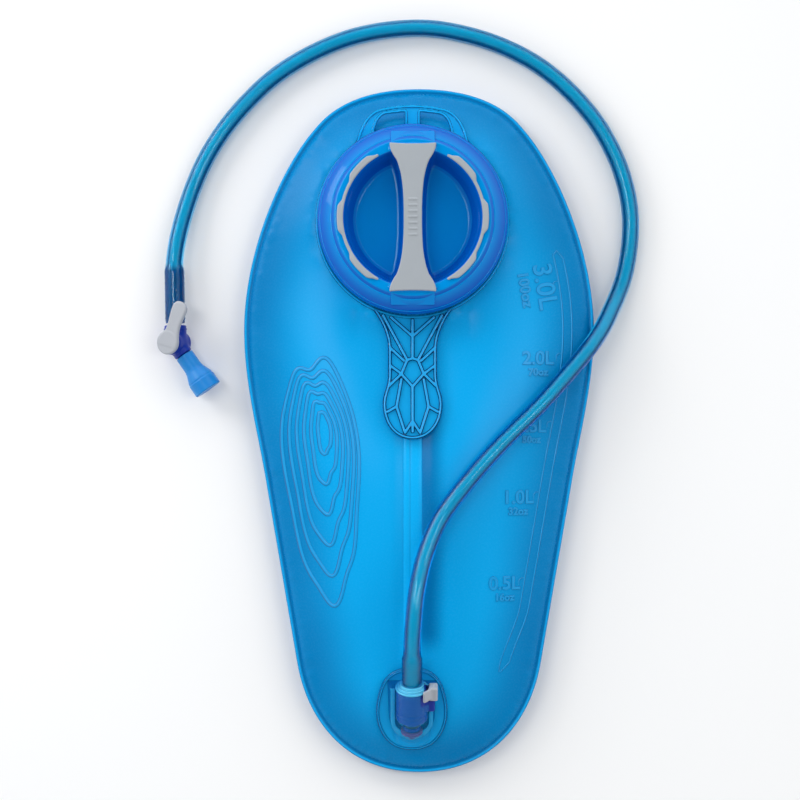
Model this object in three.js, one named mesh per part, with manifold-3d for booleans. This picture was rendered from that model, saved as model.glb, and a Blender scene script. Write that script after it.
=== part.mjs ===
// A soft drinking reservoir for a rucksack, lying on its back on a flat surface.
// Millimetres, +Z up. The origin is on the surface, below the middle of the bag's outline.
// +Y points to the end with the fill port, +X to the side where the hose crosses the rim.
import * as THREE from 'three';
import { mergeVertices } from 'three/addons/utils/BufferGeometryUtils.js';
import Module from 'manifold-3d';

const wasm = await Module();
wasm.setup();

// ---- driving dimensions -------------------------------------------------------------------

const GAP = 0.3; // clearance between pieces that touch on the real object
const FACETS = 32; // sides of the large round pieces
const SMALL_FACETS = 16; // sides of the small round pieces

// bag
const BAG_HALF_LENGTH = 205;
const BAG_HALF_WIDTH = 105;
const FILM = 0.8; // thickness of each film
const RIM_Z = 13; // height of the weld between the films
const WELD_WIDTH = 3.2;
const FRONT_LOAD = 0.0078; // curvature that the filling gives the front film, 1/mm
const BACK_LOAD = 0.009;
const AXIS_X = -4; // the line of port, handle, baffle and outlet

// fill port
const PORT_Y = 124;
const PORT_Z = 27.3; // underside of the ring flange
const FLANGE_R = 57.5;
const FLANGE_THICKNESS = 2;
const COLLAR_R_IN = 42;
const COLLAR_R_OUT = 45.5;
const COLLAR_TOP = 44;
const THREAD_R = 46.9;
const HANDLE_SLOPE = 0.09; // the handle rises with the film below it
const HANDLE_TIP = 128.9; // from the port's axis
const HANDLE_THICKNESS = 1.8;
const HANDLE_CLEARANCE = 1.2; // between the handle and the film below it
const RIB = 1.5; // width and height of the handle's ribs

// cap
const CAP_R = 55.6;
const CAP_SKIRT_Z = 30.2;
const CAP_TOP = 51.2;
const WELL_FLOOR = 34;
const GRIP_R_IN = 40.6;
const GRIP_R_OUT = 44.6;

// baffle
const BAFFLE_WIDTH = 10.6;
const BAFFLE_FROM_Y = -122;
const BAFFLE_TO_Y = 24;
const BAFFLE_TOP = 33.6;

// outlet and plug: its own frame has +Y out of the socket, along the plug
const SOCKET = new THREE.Vector3(-4.4, -150.8, 38.4);
const PLUG_TILT = THREE.MathUtils.degToRad(22);
const OUTLET_TILT = THREE.MathUtils.degToRad(12);
const OUTLET_CENTRE = new THREE.Vector3(-4.4, -164.4, 25);
const OUTLET_FLANGE = 2; // thickness
const OUTLET_HALF_WIDTH = 22;
const OUTLET_HALF_LENGTH = 26;
const PLUG_R = 9.3;
const TIP_R = 5.1;
const SEAT_R = 5.5;
const CHAMBER_R = 7;

// hose
const HOSE_R = 5.1;
const HOSE_END_R = 6.1;
const BARB_R = 3.6;
const BARB_RIDGE_R = 4.3;
const QUICK_BARB_FROM = 3.8;
const QUICK_BARB_TO = 20.5;
const BITE_BARB_FROM = 12;
const BITE_BARB_TO = 44;

// shut-off valve: its own frame has +Y towards the hose
const VALVE = new THREE.Vector3(-146.6, 52.8, 9.6);
const VALVE_TURN = THREE.MathUtils.degToRad(1);
const SPOOL_TILT = THREE.MathUtils.degToRad(22);
const BARREL_R = 7.2;
const BARREL_FROM = -6.4;
const BARREL_TO = 7.4;
const SPOOL_R = 4.5;
const SPOOL_BORE_R = 4.9;
const FLOW_R = 2.4;
const LEVER_R = 7.2;
const LEVER_THICKNESS = 2.6;
const LEVER_REACH = 26;
const LEVER_ANGLE = THREE.MathUtils.degToRad(68.4);
const OUTLET_ANGLE = THREE.MathUtils.degToRad(-55);
const MOUTHPIECE_END = 34.4;

// ---- helpers ------------------------------------------------------------------------------

const v2 = (x, y) => new THREE.Vector2(x, y);
const v3 = (x, y, z) => new THREE.Vector3(x, y, z);

// A geometry's shared vertices, merged, with its faces pointing out.
function closed(geometry) {
  const bare = new THREE.BufferGeometry();
  bare.setAttribute('position', geometry.getAttribute('position'));
  bare.setIndex(geometry.getIndex());
  const merged = mergeVertices(bare, 1e-4);
  const index = merged.getIndex().array;
  const at = merged.getAttribute('position');
  const corner = (i) => new THREE.Vector3().fromBufferAttribute(at, index[i]);
  const kept = [];
  let volume = 0;
  for (let i = 0; i < index.length; i += 3) {
    const triangle = [index[i], index[i + 1], index[i + 2]];
    if (new Set(triangle).size === 3) {
      volume += corner(i).dot(corner(i + 1).cross(corner(i + 2)));
      kept.push(triangle);
    }
  }
  const ordered = volume < 0 ? kept.map(([a, b, c]) => [a, c, b]) : kept;
  merged.setIndex(ordered.flat());
  return merged;
}

function solidOf(geometry) {
  const shape = closed(geometry);
  const mesh = new wasm.Mesh({
    numProp: 3,
    vertProperties: new Float32Array(shape.getAttribute('position').array),
    triVerts: new Uint32Array(shape.getIndex().array),
  });
  return new wasm.Manifold(mesh);
}

function geometryOf(solid) {
  const mesh = solid.getMesh();
  const geometry = new THREE.BufferGeometry();
  geometry.setAttribute('position', new THREE.BufferAttribute(mesh.vertProperties, 3));
  geometry.setIndex(new THREE.BufferAttribute(mesh.triVerts, 1));
  return geometry;
}

// The first geometry joined with the others, and with the cuts taken out of it.
function carved(base, joins = [], cuts = []) {
  let solid = solidOf(base);
  for (const join of joins) {
    solid = solid.add(solidOf(join));
  }
  for (const cut of cuts) {
    solid = solid.subtract(solidOf(cut));
  }
  return geometryOf(solid);
}

// A profile of [radius, height] pairs turned about +Z. A ring's profile repeats its first point.
function turned(profile, facets = FACETS) {
  const points = profile.map(([r, z]) => v2(r, z));
  return closed(new THREE.LatheGeometry(points, facets).rotateX(Math.PI / 2));
}

const ring = (profile, facets) => turned([...profile, profile[0]], facets);

const drum = (r, from, to, facets = SMALL_FACETS) =>
  turned([[0, from], [r, from], [r, to], [0, to]], facets);

// The same, turned about +Y, with heights along +Y.
const alongY = (geometry) => geometry.clone().rotateX(-Math.PI / 2);

function box(x0, x1, y0, y1, z0, z1) {
  const block = new THREE.BoxGeometry(x1 - x0, y1 - y0, z1 - z0);
  return block.translate((x0 + x1) / 2, (y0 + y1) / 2, (z0 + z1) / 2);
}

function plate(shape, from, to, curveSegments = 8) {
  const options = { depth: to - from, bevelEnabled: false, curveSegments };
  return new THREE.ExtrudeGeometry(shape, options).translate(0, 0, from);
}

const torus = (r, section) => closed(new THREE.TorusGeometry(r, section, 6, SMALL_FACETS));

// Loops with equal numbers of points, joined into one skin with a lid on each end.
function loft(loops) {
  const count = loops[0].length;
  const points = loops.flat();
  const triangles = [];
  for (let j = 0; j + 1 < loops.length; j += 1) {
    for (let i = 0; i < count; i += 1) {
      const a = j * count + i;
      const b = j * count + ((i + 1) % count);
      triangles.push(a, b, b + count, a, b + count, a + count);
    }
  }
  for (const [start, flip] of [[0, true], [(loops.length - 1) * count, false]]) {
    const loop = points.slice(start, start + count);
    const middle = loop.reduce((sum, p) => sum.add(p), v3(0, 0, 0)).divideScalar(count);
    points.push(middle);
    for (let i = 0; i < count; i += 1) {
      const side = [start + i, start + ((i + 1) % count)];
      triangles.push(...(flip ? side.reverse() : side), points.length - 1);
    }
  }
  const geometry = new THREE.BufferGeometry().setFromPoints(points);
  geometry.setIndex(triangles);
  return closed(geometry);
}

// A tube with a round section along a curve.
function rod(curve, radius, sides, steps) {
  const circle = new THREE.Path().absarc(0, 0, radius, 0, 2 * Math.PI).getPoints(sides);
  const section = new THREE.Shape(circle.slice(0, sides));
  return closed(new THREE.ExtrudeGeometry(section, { steps, bevelEnabled: false, extrudePath: curve }));
}

class Helix extends THREE.Curve {
  constructor(radius, from, to, turns) {
    super();
    Object.assign(this, { radius, from, to, turns });
  }

  getPoint(t, target = v3(0, 0, 0)) {
    const angle = 2 * Math.PI * this.turns * t;
    const height = THREE.MathUtils.lerp(this.from, this.to, t);
    return target.set(this.radius * Math.cos(angle), this.radius * Math.sin(angle), height);
  }
}

// ---- the bag's outline and films ----------------------------------------------------------

// The outline from the top of the bag down one side to its bottom; side is +1 or -1.
function outlineSide(path, side) {
  const to = (x1, y1, x2, y2, x, y) => path.bezierCurveTo(side * x1, y1, side * x2, y2, side * x, y);
  to(42, BAG_HALF_LENGTH, 57, 188, 63, 180.5);
  to(82, 159, BAG_HALF_WIDTH, 108, BAG_HALF_WIDTH, 60);
  to(BAG_HALF_WIDTH, 29, 96.6, -2.5, 92.5, -26.5);
  path.lineTo(side * 73, -140);
  to(67, -174, 44, -BAG_HALF_LENGTH, 0, -BAG_HALF_LENGTH);
}

// The outline's points, running from the top down the +X side and up the -X side.
function outlinePoints(perSide) {
  const halves = [1, -1].map((side) => {
    const path = new THREE.Path().moveTo(0, BAG_HALF_LENGTH);
    outlineSide(path, side);
    return path.getSpacedPoints(perSide);
  });
  return [...halves[0], ...halves[1].slice(1, -1).reverse()];
}

const OUTLINE = outlinePoints(200);

function insideOutline(x, y, margin = 0) {
  let inside = false;
  let nearest = Infinity;
  OUTLINE.forEach((a, i) => {
    const b = OUTLINE[(i + 1) % OUTLINE.length];
    if (a.y > y !== b.y > y && x < ((b.x - a.x) * (y - a.y)) / (b.y - a.y) + a.x) {
      inside = !inside;
    }
    nearest = Math.min(nearest, Math.hypot(a.x - x, a.y - y));
  });
  return inside && nearest > margin;
}

const GRID = 3; // spacing of the points where a film's height is worked out

// The height of a film under an even load, held at the weld, at the ports and between two limits.
function relaxedFilm({ rim, load, held, lowest, highest }) {
  const columns = Math.ceil(BAG_HALF_WIDTH / GRID) + 1;
  const rows = Math.ceil(BAG_HALF_LENGTH / GRID) + 1;
  const stride = 2 * columns + 1;
  const height = new Float64Array(stride * (2 * rows + 1)).fill(rim);
  const free = [];
  for (let j = -rows; j <= rows; j += 1) {
    for (let i = -columns; i <= columns; i += 1) {
      const [x, y] = [i * GRID, j * GRID];
      const at = (j + rows) * stride + i + columns;
      if (insideOutline(x, y, WELD_WIDTH)) {
        const fixed = held(x, y);
        if (fixed === null) {
          free.push({ at, low: lowest(x, y), high: highest(x, y) });
        } else {
          height[at] = fixed;
        }
      }
    }
  }
  const RELAXATION = 1.9;
  const SWEEPS = 400;
  for (let sweep = 0; sweep < SWEEPS; sweep += 1) {
    for (const { at, low, high } of free) {
      const around = height[at - 1] + height[at + 1] + height[at - stride] + height[at + stride];
      const target = (around + load * GRID * GRID) / 4;
      const next = height[at] + RELAXATION * (target - height[at]);
      height[at] = Math.min(high, Math.max(low, next));
    }
  }
  return (x, y) => {
    const u = x / GRID + columns;
    const v = y / GRID + rows;
    const [i, j] = [Math.floor(u), Math.floor(v)];
    const at = j * stride + i;
    const near = THREE.MathUtils.lerp(height[at], height[at + 1], u - i);
    const far = THREE.MathUtils.lerp(height[at + stride], height[at + stride + 1], u - i);
    return THREE.MathUtils.lerp(near, far, v - j);
  };
}

const portDistance = (x, y) => Math.hypot(x - AXIS_X, y - PORT_Y);

// Underside of the handle above a point, or null beside it.
function handleUnderside(x, y) {
  const down = PORT_Y - y;
  const halfWidth = down < 70 ? 34 : 22;
  const below = down > 50 && down < HANDLE_TIP + 6 && Math.abs(x - AXIS_X) < halfWidth;
  return below ? PORT_Z + HANDLE_SLOPE * Math.max(0, down - FLANGE_R) : null;
}

const outletPlane = (y) => OUTLET_CENTRE.z + Math.tan(OUTLET_TILT) * (y - OUTLET_CENTRE.y);

function besideOutlet(x, y) {
  const across = (x - OUTLET_CENTRE.x) / (OUTLET_HALF_WIDTH + 2.5);
  const along = (y - OUTLET_CENTRE.y) / (OUTLET_HALF_LENGTH + 1.5);
  return Math.hypot(across, along);
}

const frontHeight = relaxedFilm({
  rim: RIM_Z + GAP / 2 + FILM,
  load: FRONT_LOAD,
  held: (x, y) => {
    if (portDistance(x, y) < FLANGE_R + 1.5) {
      return PORT_Z - GAP;
    }
    return besideOutlet(x, y) < 1 ? outletPlane(y) - GAP : null;
  },
  lowest: () => RIM_Z,
  highest: (x, y) => {
    const handle = handleUnderside(x, y);
    const alongBaffle = y > BAFFLE_FROM_Y && y < BAFFLE_TO_Y;
    const overBaffle = alongBaffle && Math.abs(x - AXIS_X) < BAFFLE_WIDTH / 2 + 1;
    const handleLimit = handle === null ? Infinity : handle - HANDLE_CLEARANCE;
    return Math.min(handleLimit, overBaffle ? BAFFLE_TOP + FILM : Infinity);
  },
});

const backHeight = relaxedFilm({
  rim: RIM_Z - GAP / 2,
  load: -BACK_LOAD,
  held: () => null,
  lowest: () => FILM,
  highest: () => RIM_Z,
});

// The outlet's oval flange, seen from the front; grow widens it all round.
function outletOutline(grow = 0) {
  const [w, l] = [OUTLET_HALF_WIDTH + grow, OUTLET_HALF_LENGTH + grow];
  const shape = new THREE.Shape();
  shape.moveTo(0, l);
  shape.bezierCurveTo(w / 2, l, w - 5, l - 6, w - 3, 12);
  shape.bezierCurveTo(w, 2, w + 0.5, -8, w - 5, -17);
  shape.bezierCurveTo(w - 9, -l + 2.5, 7, -l, 0, -l);
  shape.bezierCurveTo(-7, -l, 9 - w, -l + 2.5, 5 - w, -17);
  shape.bezierCurveTo(-w - 0.5, -8, -w, 2, 3 - w, 12);
  shape.bezierCurveTo(5 - w, l - 6, -w / 2, l, 0, l);
  return shape;
}

function outletSlab(grow, from, to) {
  const slab = plate(outletOutline(grow), from, to, 5).rotateX(OUTLET_TILT);
  return slab.translate(OUTLET_CENTRE.x, OUTLET_CENTRE.y, OUTLET_CENTRE.z);
}

// A film from rings of points on its upper face, innermost first, FILM thick.
function filmSolid(rings, hasHole) {
  const count = rings[0].length;
  const upper = rings.flat();
  const lower = upper.map((p) => v3(p.x, p.y, p.z - FILM));
  const points = [...upper, ...lower];
  const under = upper.length;
  const triangles = [];
  const quad = (a, b, c, d) => triangles.push(a, b, c, a, c, d);
  for (let i = 0; i < count; i += 1) {
    const next = (i + 1) % count;
    for (let j = 0; j + 1 < rings.length; j += 1) {
      const [a, b] = [j * count + i, j * count + next];
      quad(a, b, b + count, a + count);
      quad(under + b, under + a, under + a + count, under + b + count);
    }
    const edge = (rings.length - 1) * count;
    quad(edge + i, edge + next, under + edge + next, under + edge + i);
    if (hasHole) {
      quad(next, i, under + i, under + next);
    } else {
      triangles.push(i, points.length, next, under + i, under + next, points.length + 1);
    }
  }
  if (!hasHole) {
    const centre = rings[0].reduce((sum, p) => sum.add(p), v3(0, 0, 0)).divideScalar(count);
    points.push(centre, v3(centre.x, centre.y, centre.z - FILM));
  }
  const geometry = new THREE.BufferGeometry().setFromPoints(points);
  geometry.setIndex(triangles);
  return closed(geometry);
}

const RAYS_PER_SIDE = 24;

// The outline moved in by the weld's width, towards a point.
function weldInnerEdge(edge, centre) {
  const inward = v2(centre.x - edge.x, centre.y - edge.y).normalize();
  return v2(edge.x + inward.x * WELD_WIDTH, edge.y + inward.y * WELD_WIDTH);
}

function frontFilm() {
  const centre = v2(AXIS_X, PORT_Y);
  const edges = outlinePoints(RAYS_PER_SIDE);
  const bearings = edges.map((edge) => Math.atan2(edge.y - centre.y, edge.x - centre.x));
  const around = (r) => bearings.map((b) => v2(centre.x + r * Math.cos(b), centre.y + r * Math.sin(b)));
  const flangeEdge = around(FLANGE_R + 1.2);
  const weld = edges.map((edge) => weldInnerEdge(edge, v2(0, 0)));
  const between = (t) => flangeEdge.map((p, i) => p.clone().lerp(weld[i], t));
  const lift = (loop) => loop.map((p) => v3(p.x, p.y, frontHeight(p.x, p.y)));
  const rings = [around(COLLAR_R_IN + 1), flangeEdge, ...[0.2, 0.4, 0.6, 0.78, 0.92].map(between)].map(lift);
  const flat = RIM_Z + GAP / 2 + FILM;
  rings.push(weld.map((p) => v3(p.x, p.y, flat)), edges.map((p) => v3(p.x, p.y, flat)));
  return carved(filmSolid(rings, true), [], [outletSlab(0.4, -20, 20)]);
}

function backFilm() {
  const centre = v2(0, 0);
  const edges = outlinePoints(RAYS_PER_SIDE);
  const weld = edges.map((edge) => weldInnerEdge(edge, centre));
  const between = (t) => weld.map((p) => centre.clone().lerp(p, t));
  const lift = (loop) => loop.map((p) => v3(p.x, p.y, Math.max(FILM, backHeight(p.x, p.y))));
  const rings = [0.35, 0.6, 0.76, 0.9].map(between).map(lift);
  const flat = RIM_Z - GAP / 2;
  rings.push(weld.map((p) => v3(p.x, p.y, flat)), edges.map((p) => v3(p.x, p.y, flat)));
  return filmSolid(rings, false);
}

// A strip across the inside, welded to both films, which stops the bag from swelling into a drum.
function centreBaffle() {
  const WEB = 1;
  const CLEAR = 0.9;
  const steps = 8;
  const rowAt = (i) => THREE.MathUtils.lerp(BAFFLE_FROM_Y, BAFFLE_TO_Y, i / steps);
  const rows = Array.from({ length: steps + 1 }, (_, i) => rowAt(i));
  const across = [-1, 0, 1].map((side) => AXIS_X + (side * BAFFLE_WIDTH) / 2);
  const top = (y) => Math.min(...across.map((x) => frontHeight(x, y))) - FILM - CLEAR;
  const bottom = (y) => backHeight(AXIS_X, y) + CLEAR;
  const strip = (halfWidth, low, high) =>
    loft(rows.map((y) => {
      const [x0, x1] = [AXIS_X - halfWidth, AXIS_X + halfWidth];
      return [v3(x0, y, low(y)), v3(x1, y, low(y)), v3(x1, y, high(y)), v3(x0, y, high(y))];
    }));
  const web = strip(WEB / 2, bottom, top);
  const upper = strip(BAFFLE_WIDTH / 2, (y) => top(y) - FILM, top);
  const lower = strip(BAFFLE_WIDTH / 2, bottom, (y) => bottom(y) + FILM);
  return carved(web, [upper, lower]);
}

// ---- fill port ----------------------------------------------------------------------------

// One turn of thread that climbs as it goes round, from a wall at rootR to crestR.
function threadRidge(rootR, crestR, height, from, sweep, rise) {
  const STEPS = 14;
  const loops = [];
  for (let i = 0; i <= STEPS; i += 1) {
    const t = i / STEPS;
    const taper = Math.min(1, 5 * t, 5 * (1 - t));
    const crest = THREE.MathUtils.lerp(rootR, crestR, 0.15 + 0.85 * taper);
    const angle = from + sweep * t;
    const z = rise * t;
    const at = (r, dz) => v3(r * Math.cos(angle), r * Math.sin(angle), z + dz);
    loops.push([at(rootR, -height), at(crest, -height / 2), at(crest, height / 2), at(rootR, height)]);
  }
  return loft(loops);
}

const THREAD_STARTS = 3;

function threads(rootR, crestR, z) {
  const ridges = [];
  for (let i = 0; i < THREAD_STARTS; i += 1) {
    const from = (2 * Math.PI * i) / THREAD_STARTS;
    ridges.push(threadRidge(rootR, crestR, 1.4, from, 1.7, 3.5).translate(0, 0, z));
  }
  return ridges;
}

function handleOutline() {
  const shape = new THREE.Shape();
  shape.moveTo(40, -36);
  shape.bezierCurveTo(24, -50, 15, -62, 14.7, -76);
  shape.lineTo(14.7, -94);
  shape.bezierCurveTo(14.7, -100, 17.7, -102, 17.7, -108);
  shape.bezierCurveTo(17.7, -121, 10.5, -HANDLE_TIP, 0, -HANDLE_TIP);
  shape.bezierCurveTo(-10.5, -HANDLE_TIP, -17.7, -121, -17.7, -108);
  shape.bezierCurveTo(-17.7, -102, -14.7, -100, -14.7, -94);
  shape.lineTo(-14.7, -76);
  shape.bezierCurveTo(-15, -62, -24, -50, -40, -36);
  shape.lineTo(-37, -33.5);
  shape.absarc(0, 0, Math.hypot(37, 33.5), Math.atan2(-33.5, -37), Math.atan2(-33.5, 37), false);
  return shape;
}

// The struts of the handle's truss on its +X side and on its middle, from the ring to the tip.
const STRUTS = [
  [0, -58.5, 0, -126],
  [0, -84, 23.5, -55.5],
  [0, -84, 11, -66],
  [0, -92, 12.5, -82],
  [12.5, -70, 12.5, -94],
  [0, -92, 7, -101],
  [7, -101, 0, -108],
  [7, -101, 14, -94],
  [7, -101, 15.5, -110],
  [0, -116, 15, -106],
  [0, -116, 11, -122],
];

function strut(x0, y0, x1, y1, base) {
  const length = Math.hypot(x1 - x0, y1 - y0) + RIB;
  const bar = new THREE.BoxGeometry(length, RIB, RIB + 0.4);
  bar.rotateZ(Math.atan2(y1 - y0, x1 - x0));
  return bar.translate((x0 + x1) / 2, (y0 + y1) / 2, base + RIB / 2 - 0.2);
}

const HANDLE_MIDDLE = -88; // Y, from the port's axis

// Lifts what lies beyond the ring, so that the handle follows the film.
function slopedHandle(geometry) {
  const at = geometry.getAttribute('position');
  for (let i = 0; i < at.count; i += 1) {
    at.setZ(i, at.getZ(i) + HANDLE_SLOPE * Math.max(0, -at.getY(i) - FLANGE_R));
  }
  return geometry;
}

function handle() {
  const ribBase = PORT_Z + HANDLE_THICKNESS;
  const slab = plate(handleOutline(), PORT_Z, ribBase + RIB, 6);
  const outline = handleOutline().getPoints(6);
  const inset = outline.map((p) => v2(p.x * 0.87, THREE.MathUtils.lerp(HANDLE_MIDDLE, p.y, 0.94)));
  const pocket = plate(new THREE.Shape(inset), ribBase, ribBase + 2 * RIB);
  const collarRoom = drum(FLANGE_R + 0.5, ribBase, ribBase + 2 * RIB, FACETS);
  const sideStruts = STRUTS.filter(([x0, , x1]) => x0 > 0 || x1 > 0);
  const mirrored = sideStruts.map(([x0, y0, x1, y1]) => [-x0, y0, -x1, y1]);
  const struts = [...STRUTS, ...mirrored].map((ends) => strut(...ends, ribBase));
  const pan = carved(slab, [], [pocket, collarRoom]);
  return slopedHandle(carved(pan, struts));
}

const HANG_LOOP_TOP = 68.8;

function hangLoop() {
  const shape = new THREE.Shape();
  shape.moveTo(30, 47);
  shape.bezierCurveTo(29, 58, 25, 66, 17, 67);
  shape.bezierCurveTo(10, 68.4, 5, HANG_LOOP_TOP, 0, HANG_LOOP_TOP);
  shape.bezierCurveTo(-5, HANG_LOOP_TOP, -10, 68.4, -17, 67);
  shape.bezierCurveTo(-25, 66, -29, 58, -30, 47);
  shape.absarc(0, 0, Math.hypot(30, 47), Math.atan2(47, -30), Math.atan2(47, 30), true);
  const windows = [1, -1].map((side) => {
    const hole = new THREE.Shape();
    hole.moveTo(side * 3.2, 52);
    hole.lineTo(side * 3.2, 65);
    hole.lineTo(side * 15.5, 63.6);
    hole.quadraticCurveTo(side * 20.5, 62.5, side * 22, 52);
    return plate(hole, PORT_Z - 2, PORT_Z + 6, 4);
  });
  return carved(plate(shape, PORT_Z, PORT_Z + FLANGE_THICKNESS, 6), [], windows);
}

function fillPort() {
  const top = PORT_Z + FLANGE_THICKNESS;
  const body = ring([
    [COLLAR_R_IN, PORT_Z], [FLANGE_R, PORT_Z], [FLANGE_R, top - 0.6], [FLANGE_R - 0.7, top],
    [COLLAR_R_OUT, top], [COLLAR_R_OUT, COLLAR_TOP - 0.5], [COLLAR_R_OUT - 0.6, COLLAR_TOP],
    [COLLAR_R_IN + 0.6, COLLAR_TOP], [COLLAR_R_IN, COLLAR_TOP - 0.5],
  ], 40);
  const ridges = threads(COLLAR_R_OUT - 0.5, THREAD_R, 35);
  return carved(body, [hangLoop(), handle(), ...ridges]).translate(AXIS_X, PORT_Y, 0);
}

// ---- cap ----------------------------------------------------------------------------------

// A dog-bone outline along Y: narrow in the middle, wide at both ends, where it meets the ring.
function barOutline(waist, end, reach) {
  const shape = new THREE.Shape();
  const corner = Math.sqrt(reach * reach - end * end);
  shape.moveTo(waist, 0);
  shape.bezierCurveTo(waist, 17, waist + 1, 24, end, corner);
  shape.absarc(0, 0, reach, Math.atan2(corner, end), Math.atan2(corner, -end), false);
  shape.bezierCurveTo(-waist - 1, 24, -waist, 17, -waist, 0);
  shape.bezierCurveTo(-waist, -17, -waist - 1, -24, -end, -corner);
  shape.absarc(0, 0, reach, Math.atan2(-corner, -end), Math.atan2(-corner, end), false);
  shape.bezierCurveTo(waist + 1, -24, waist, -17, waist, 0);
  return shape;
}

function capShell() {
  const body = turned([
    [0, WELL_FLOOR - 1.8], [33.6, WELL_FLOOR - 1.8], [36.9, WELL_FLOOR + 0.4], [38.8, 38.4], [41.4, 46.6],
    [48.6, 46.6], [48.6, 33], [50.4, 33], [50.4, 46.4], [53.9, 43], [53.9, CAP_SKIRT_Z],
    [CAP_R, CAP_SKIRT_Z], [CAP_R, 42.5], [CAP_R - 0.9, 44.8], [53, 46.8], [50, 48.4], [47, 49.4],
    [46, 50.7], [45.3, CAP_TOP], [40.4, CAP_TOP], [39.6, 50.2], [39, 46], [37, 38.5], [35.2, 35.3],
    [33, WELL_FLOOR], [0, WELL_FLOOR],
  ], FACETS);
  const bar = plate(barOutline(4.4, 11.6, 41), WELL_FLOOR - 0.5, CAP_TOP, 5);
  const seat = plate(barOutline(5.9, 13.6, 43.5), CAP_TOP - 0.6, CAP_TOP + 5, 5);
  const ridges = threads(49.2, 47.3, 39.5);
  return carved(body, [bar, ...ridges], [seat]).translate(AXIS_X, PORT_Y, 0);
}

function capBarGrip() {
  const low = CAP_TOP - 0.3;
  const lower = plate(barOutline(5.4, 13, 42.8), low, low + 1.5, 5);
  const upper = plate(barOutline(4.6, 12.2, 42), low + 1.4, low + 2.6, 5);
  return carved(lower, [upper]).translate(AXIS_X, PORT_Y, 0);
}

// A soft pad on one side of the cap's ring: side is +1 for +X.
function capSideGrip(side) {
  const REACH = THREE.MathUtils.degToRad(58);
  const LOBE = THREE.MathUtils.degToRad(7);
  const sector = (rIn, rOut, from, to) => {
    const shape = new THREE.Shape();
    shape.absarc(0, 0, rOut, from, to, false);
    shape.absarc(0, 0, rIn, to, from, true);
    return plate(shape, CAP_TOP + GAP, CAP_TOP + 1.7, 8);
  };
  const turn = side > 0 ? 0 : Math.PI;
  const lobeAt = (a) => sector(GRIP_R_IN, GRIP_R_OUT + 0.6, turn + a - LOBE, turn + a + LOBE);
  const lobes = [-REACH + LOBE, 0, REACH - LOBE].map(lobeAt);
  const arc = sector(GRIP_R_IN, GRIP_R_OUT - 0.6, turn - REACH, turn + REACH);
  return carved(arc, lobes).translate(AXIS_X, PORT_Y, 0);
}

function capGasket() {
  const low = COLLAR_TOP + GAP;
  const high = 46.6 - GAP;
  const section = [[41.9, low], [46, low], [46.3, (low + high) / 2], [46, high], [41.9, high]];
  return ring(section, FACETS).translate(AXIS_X, PORT_Y, 0);
}

// ---- outlet and plug ----------------------------------------------------------------------

const plugFrame = new THREE.Matrix4().makeRotationX(PLUG_TILT).setPosition(SOCKET);
const inPlugFrame = (geometry) => geometry.clone().applyMatrix4(plugFrame);

const BUTTON_POCKET = [8.2, 15.2, -5.6, 3.9, -2.4, 4.6]; // where the release button sits

// An arch over the plug's axis, standing on the flange, at one distance along the axis.
function archSection(along, r, halfBase) {
  const centre = v3(0, along, 0).applyMatrix4(plugFrame);
  const foot = outletPlane(centre.y) + 1;
  const loop = [v3(centre.x - halfBase, centre.y, foot)];
  const ARC_STEPS = 8;
  for (let i = 0; i <= ARC_STEPS; i += 1) {
    const angle = Math.PI * (1 - i / ARC_STEPS);
    loop.push(v3(centre.x + r * Math.cos(angle), centre.y, centre.z + r * Math.sin(angle)));
  }
  loop.push(v3(centre.x + halfBase, centre.y, foot));
  return loop;
}

function outletPort() {
  const housing = loft([
    archSection(3, 11.4, 15), archSection(-8, 11.4, 15), archSection(-19, 11.2, 15),
    archSection(-25, 10, 14), archSection(-32, 9, 11.5), archSection(-35, 7, 8),
  ]);
  const barrelProfile = [[0, -35], [8.6, -35], [8.6, -24.5], [11.4, -21], [11.4, 1], [0, 1]];
  const barrel = inPlugFrame(alongY(turned(barrelProfile, SMALL_FACETS)));
  const mouthFace = inPlugFrame(box(-30, 30, 0, 30, -30, 30));
  const bore = inPlugFrame(alongY(turned([
    [0, -33.5], [CHAMBER_R, -33.5], [CHAMBER_R, -24.6], [SEAT_R, -24.6], [SEAT_R, -20], [PLUG_R + 0.4, -20],
    [PLUG_R + 0.4, 2], [0, 2],
  ], SMALL_FACETS)));
  const passage = inPlugFrame(drum(4, -26, 0).translate(0, -29, 0)); // down into the bag
  const slot = inPlugFrame(box(8, 17, -13.8, 2, -3.6, 5.6));
  const joins = [outletSlab(0, 0, OUTLET_FLANGE), barrel];
  return carved(housing, joins, [mouthFace, bore, passage, slot]);
}

function outletPoppet() {
  return inPlugFrame(alongY(turned([
    [0, -33.1], [1.8, -33.1], [1.8, -29.2], [6.4, -29.2], [6.4, -28.3], [5, -28.3], [5, -27.3], [0, -27.3],
  ])));
}

function poppetSeal() {
  const section = [[5.3, -28], [6.4, -28], [6.4, -27.3], [5.3, -27.3]];
  return inPlugFrame(alongY(ring(section, SMALL_FACETS)));
}

const poppetSpring = () => inPlugFrame(alongY(rod(new Helix(4.4, -32.9, -29.9, 2.5), 0.35, 5, 28)));

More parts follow.
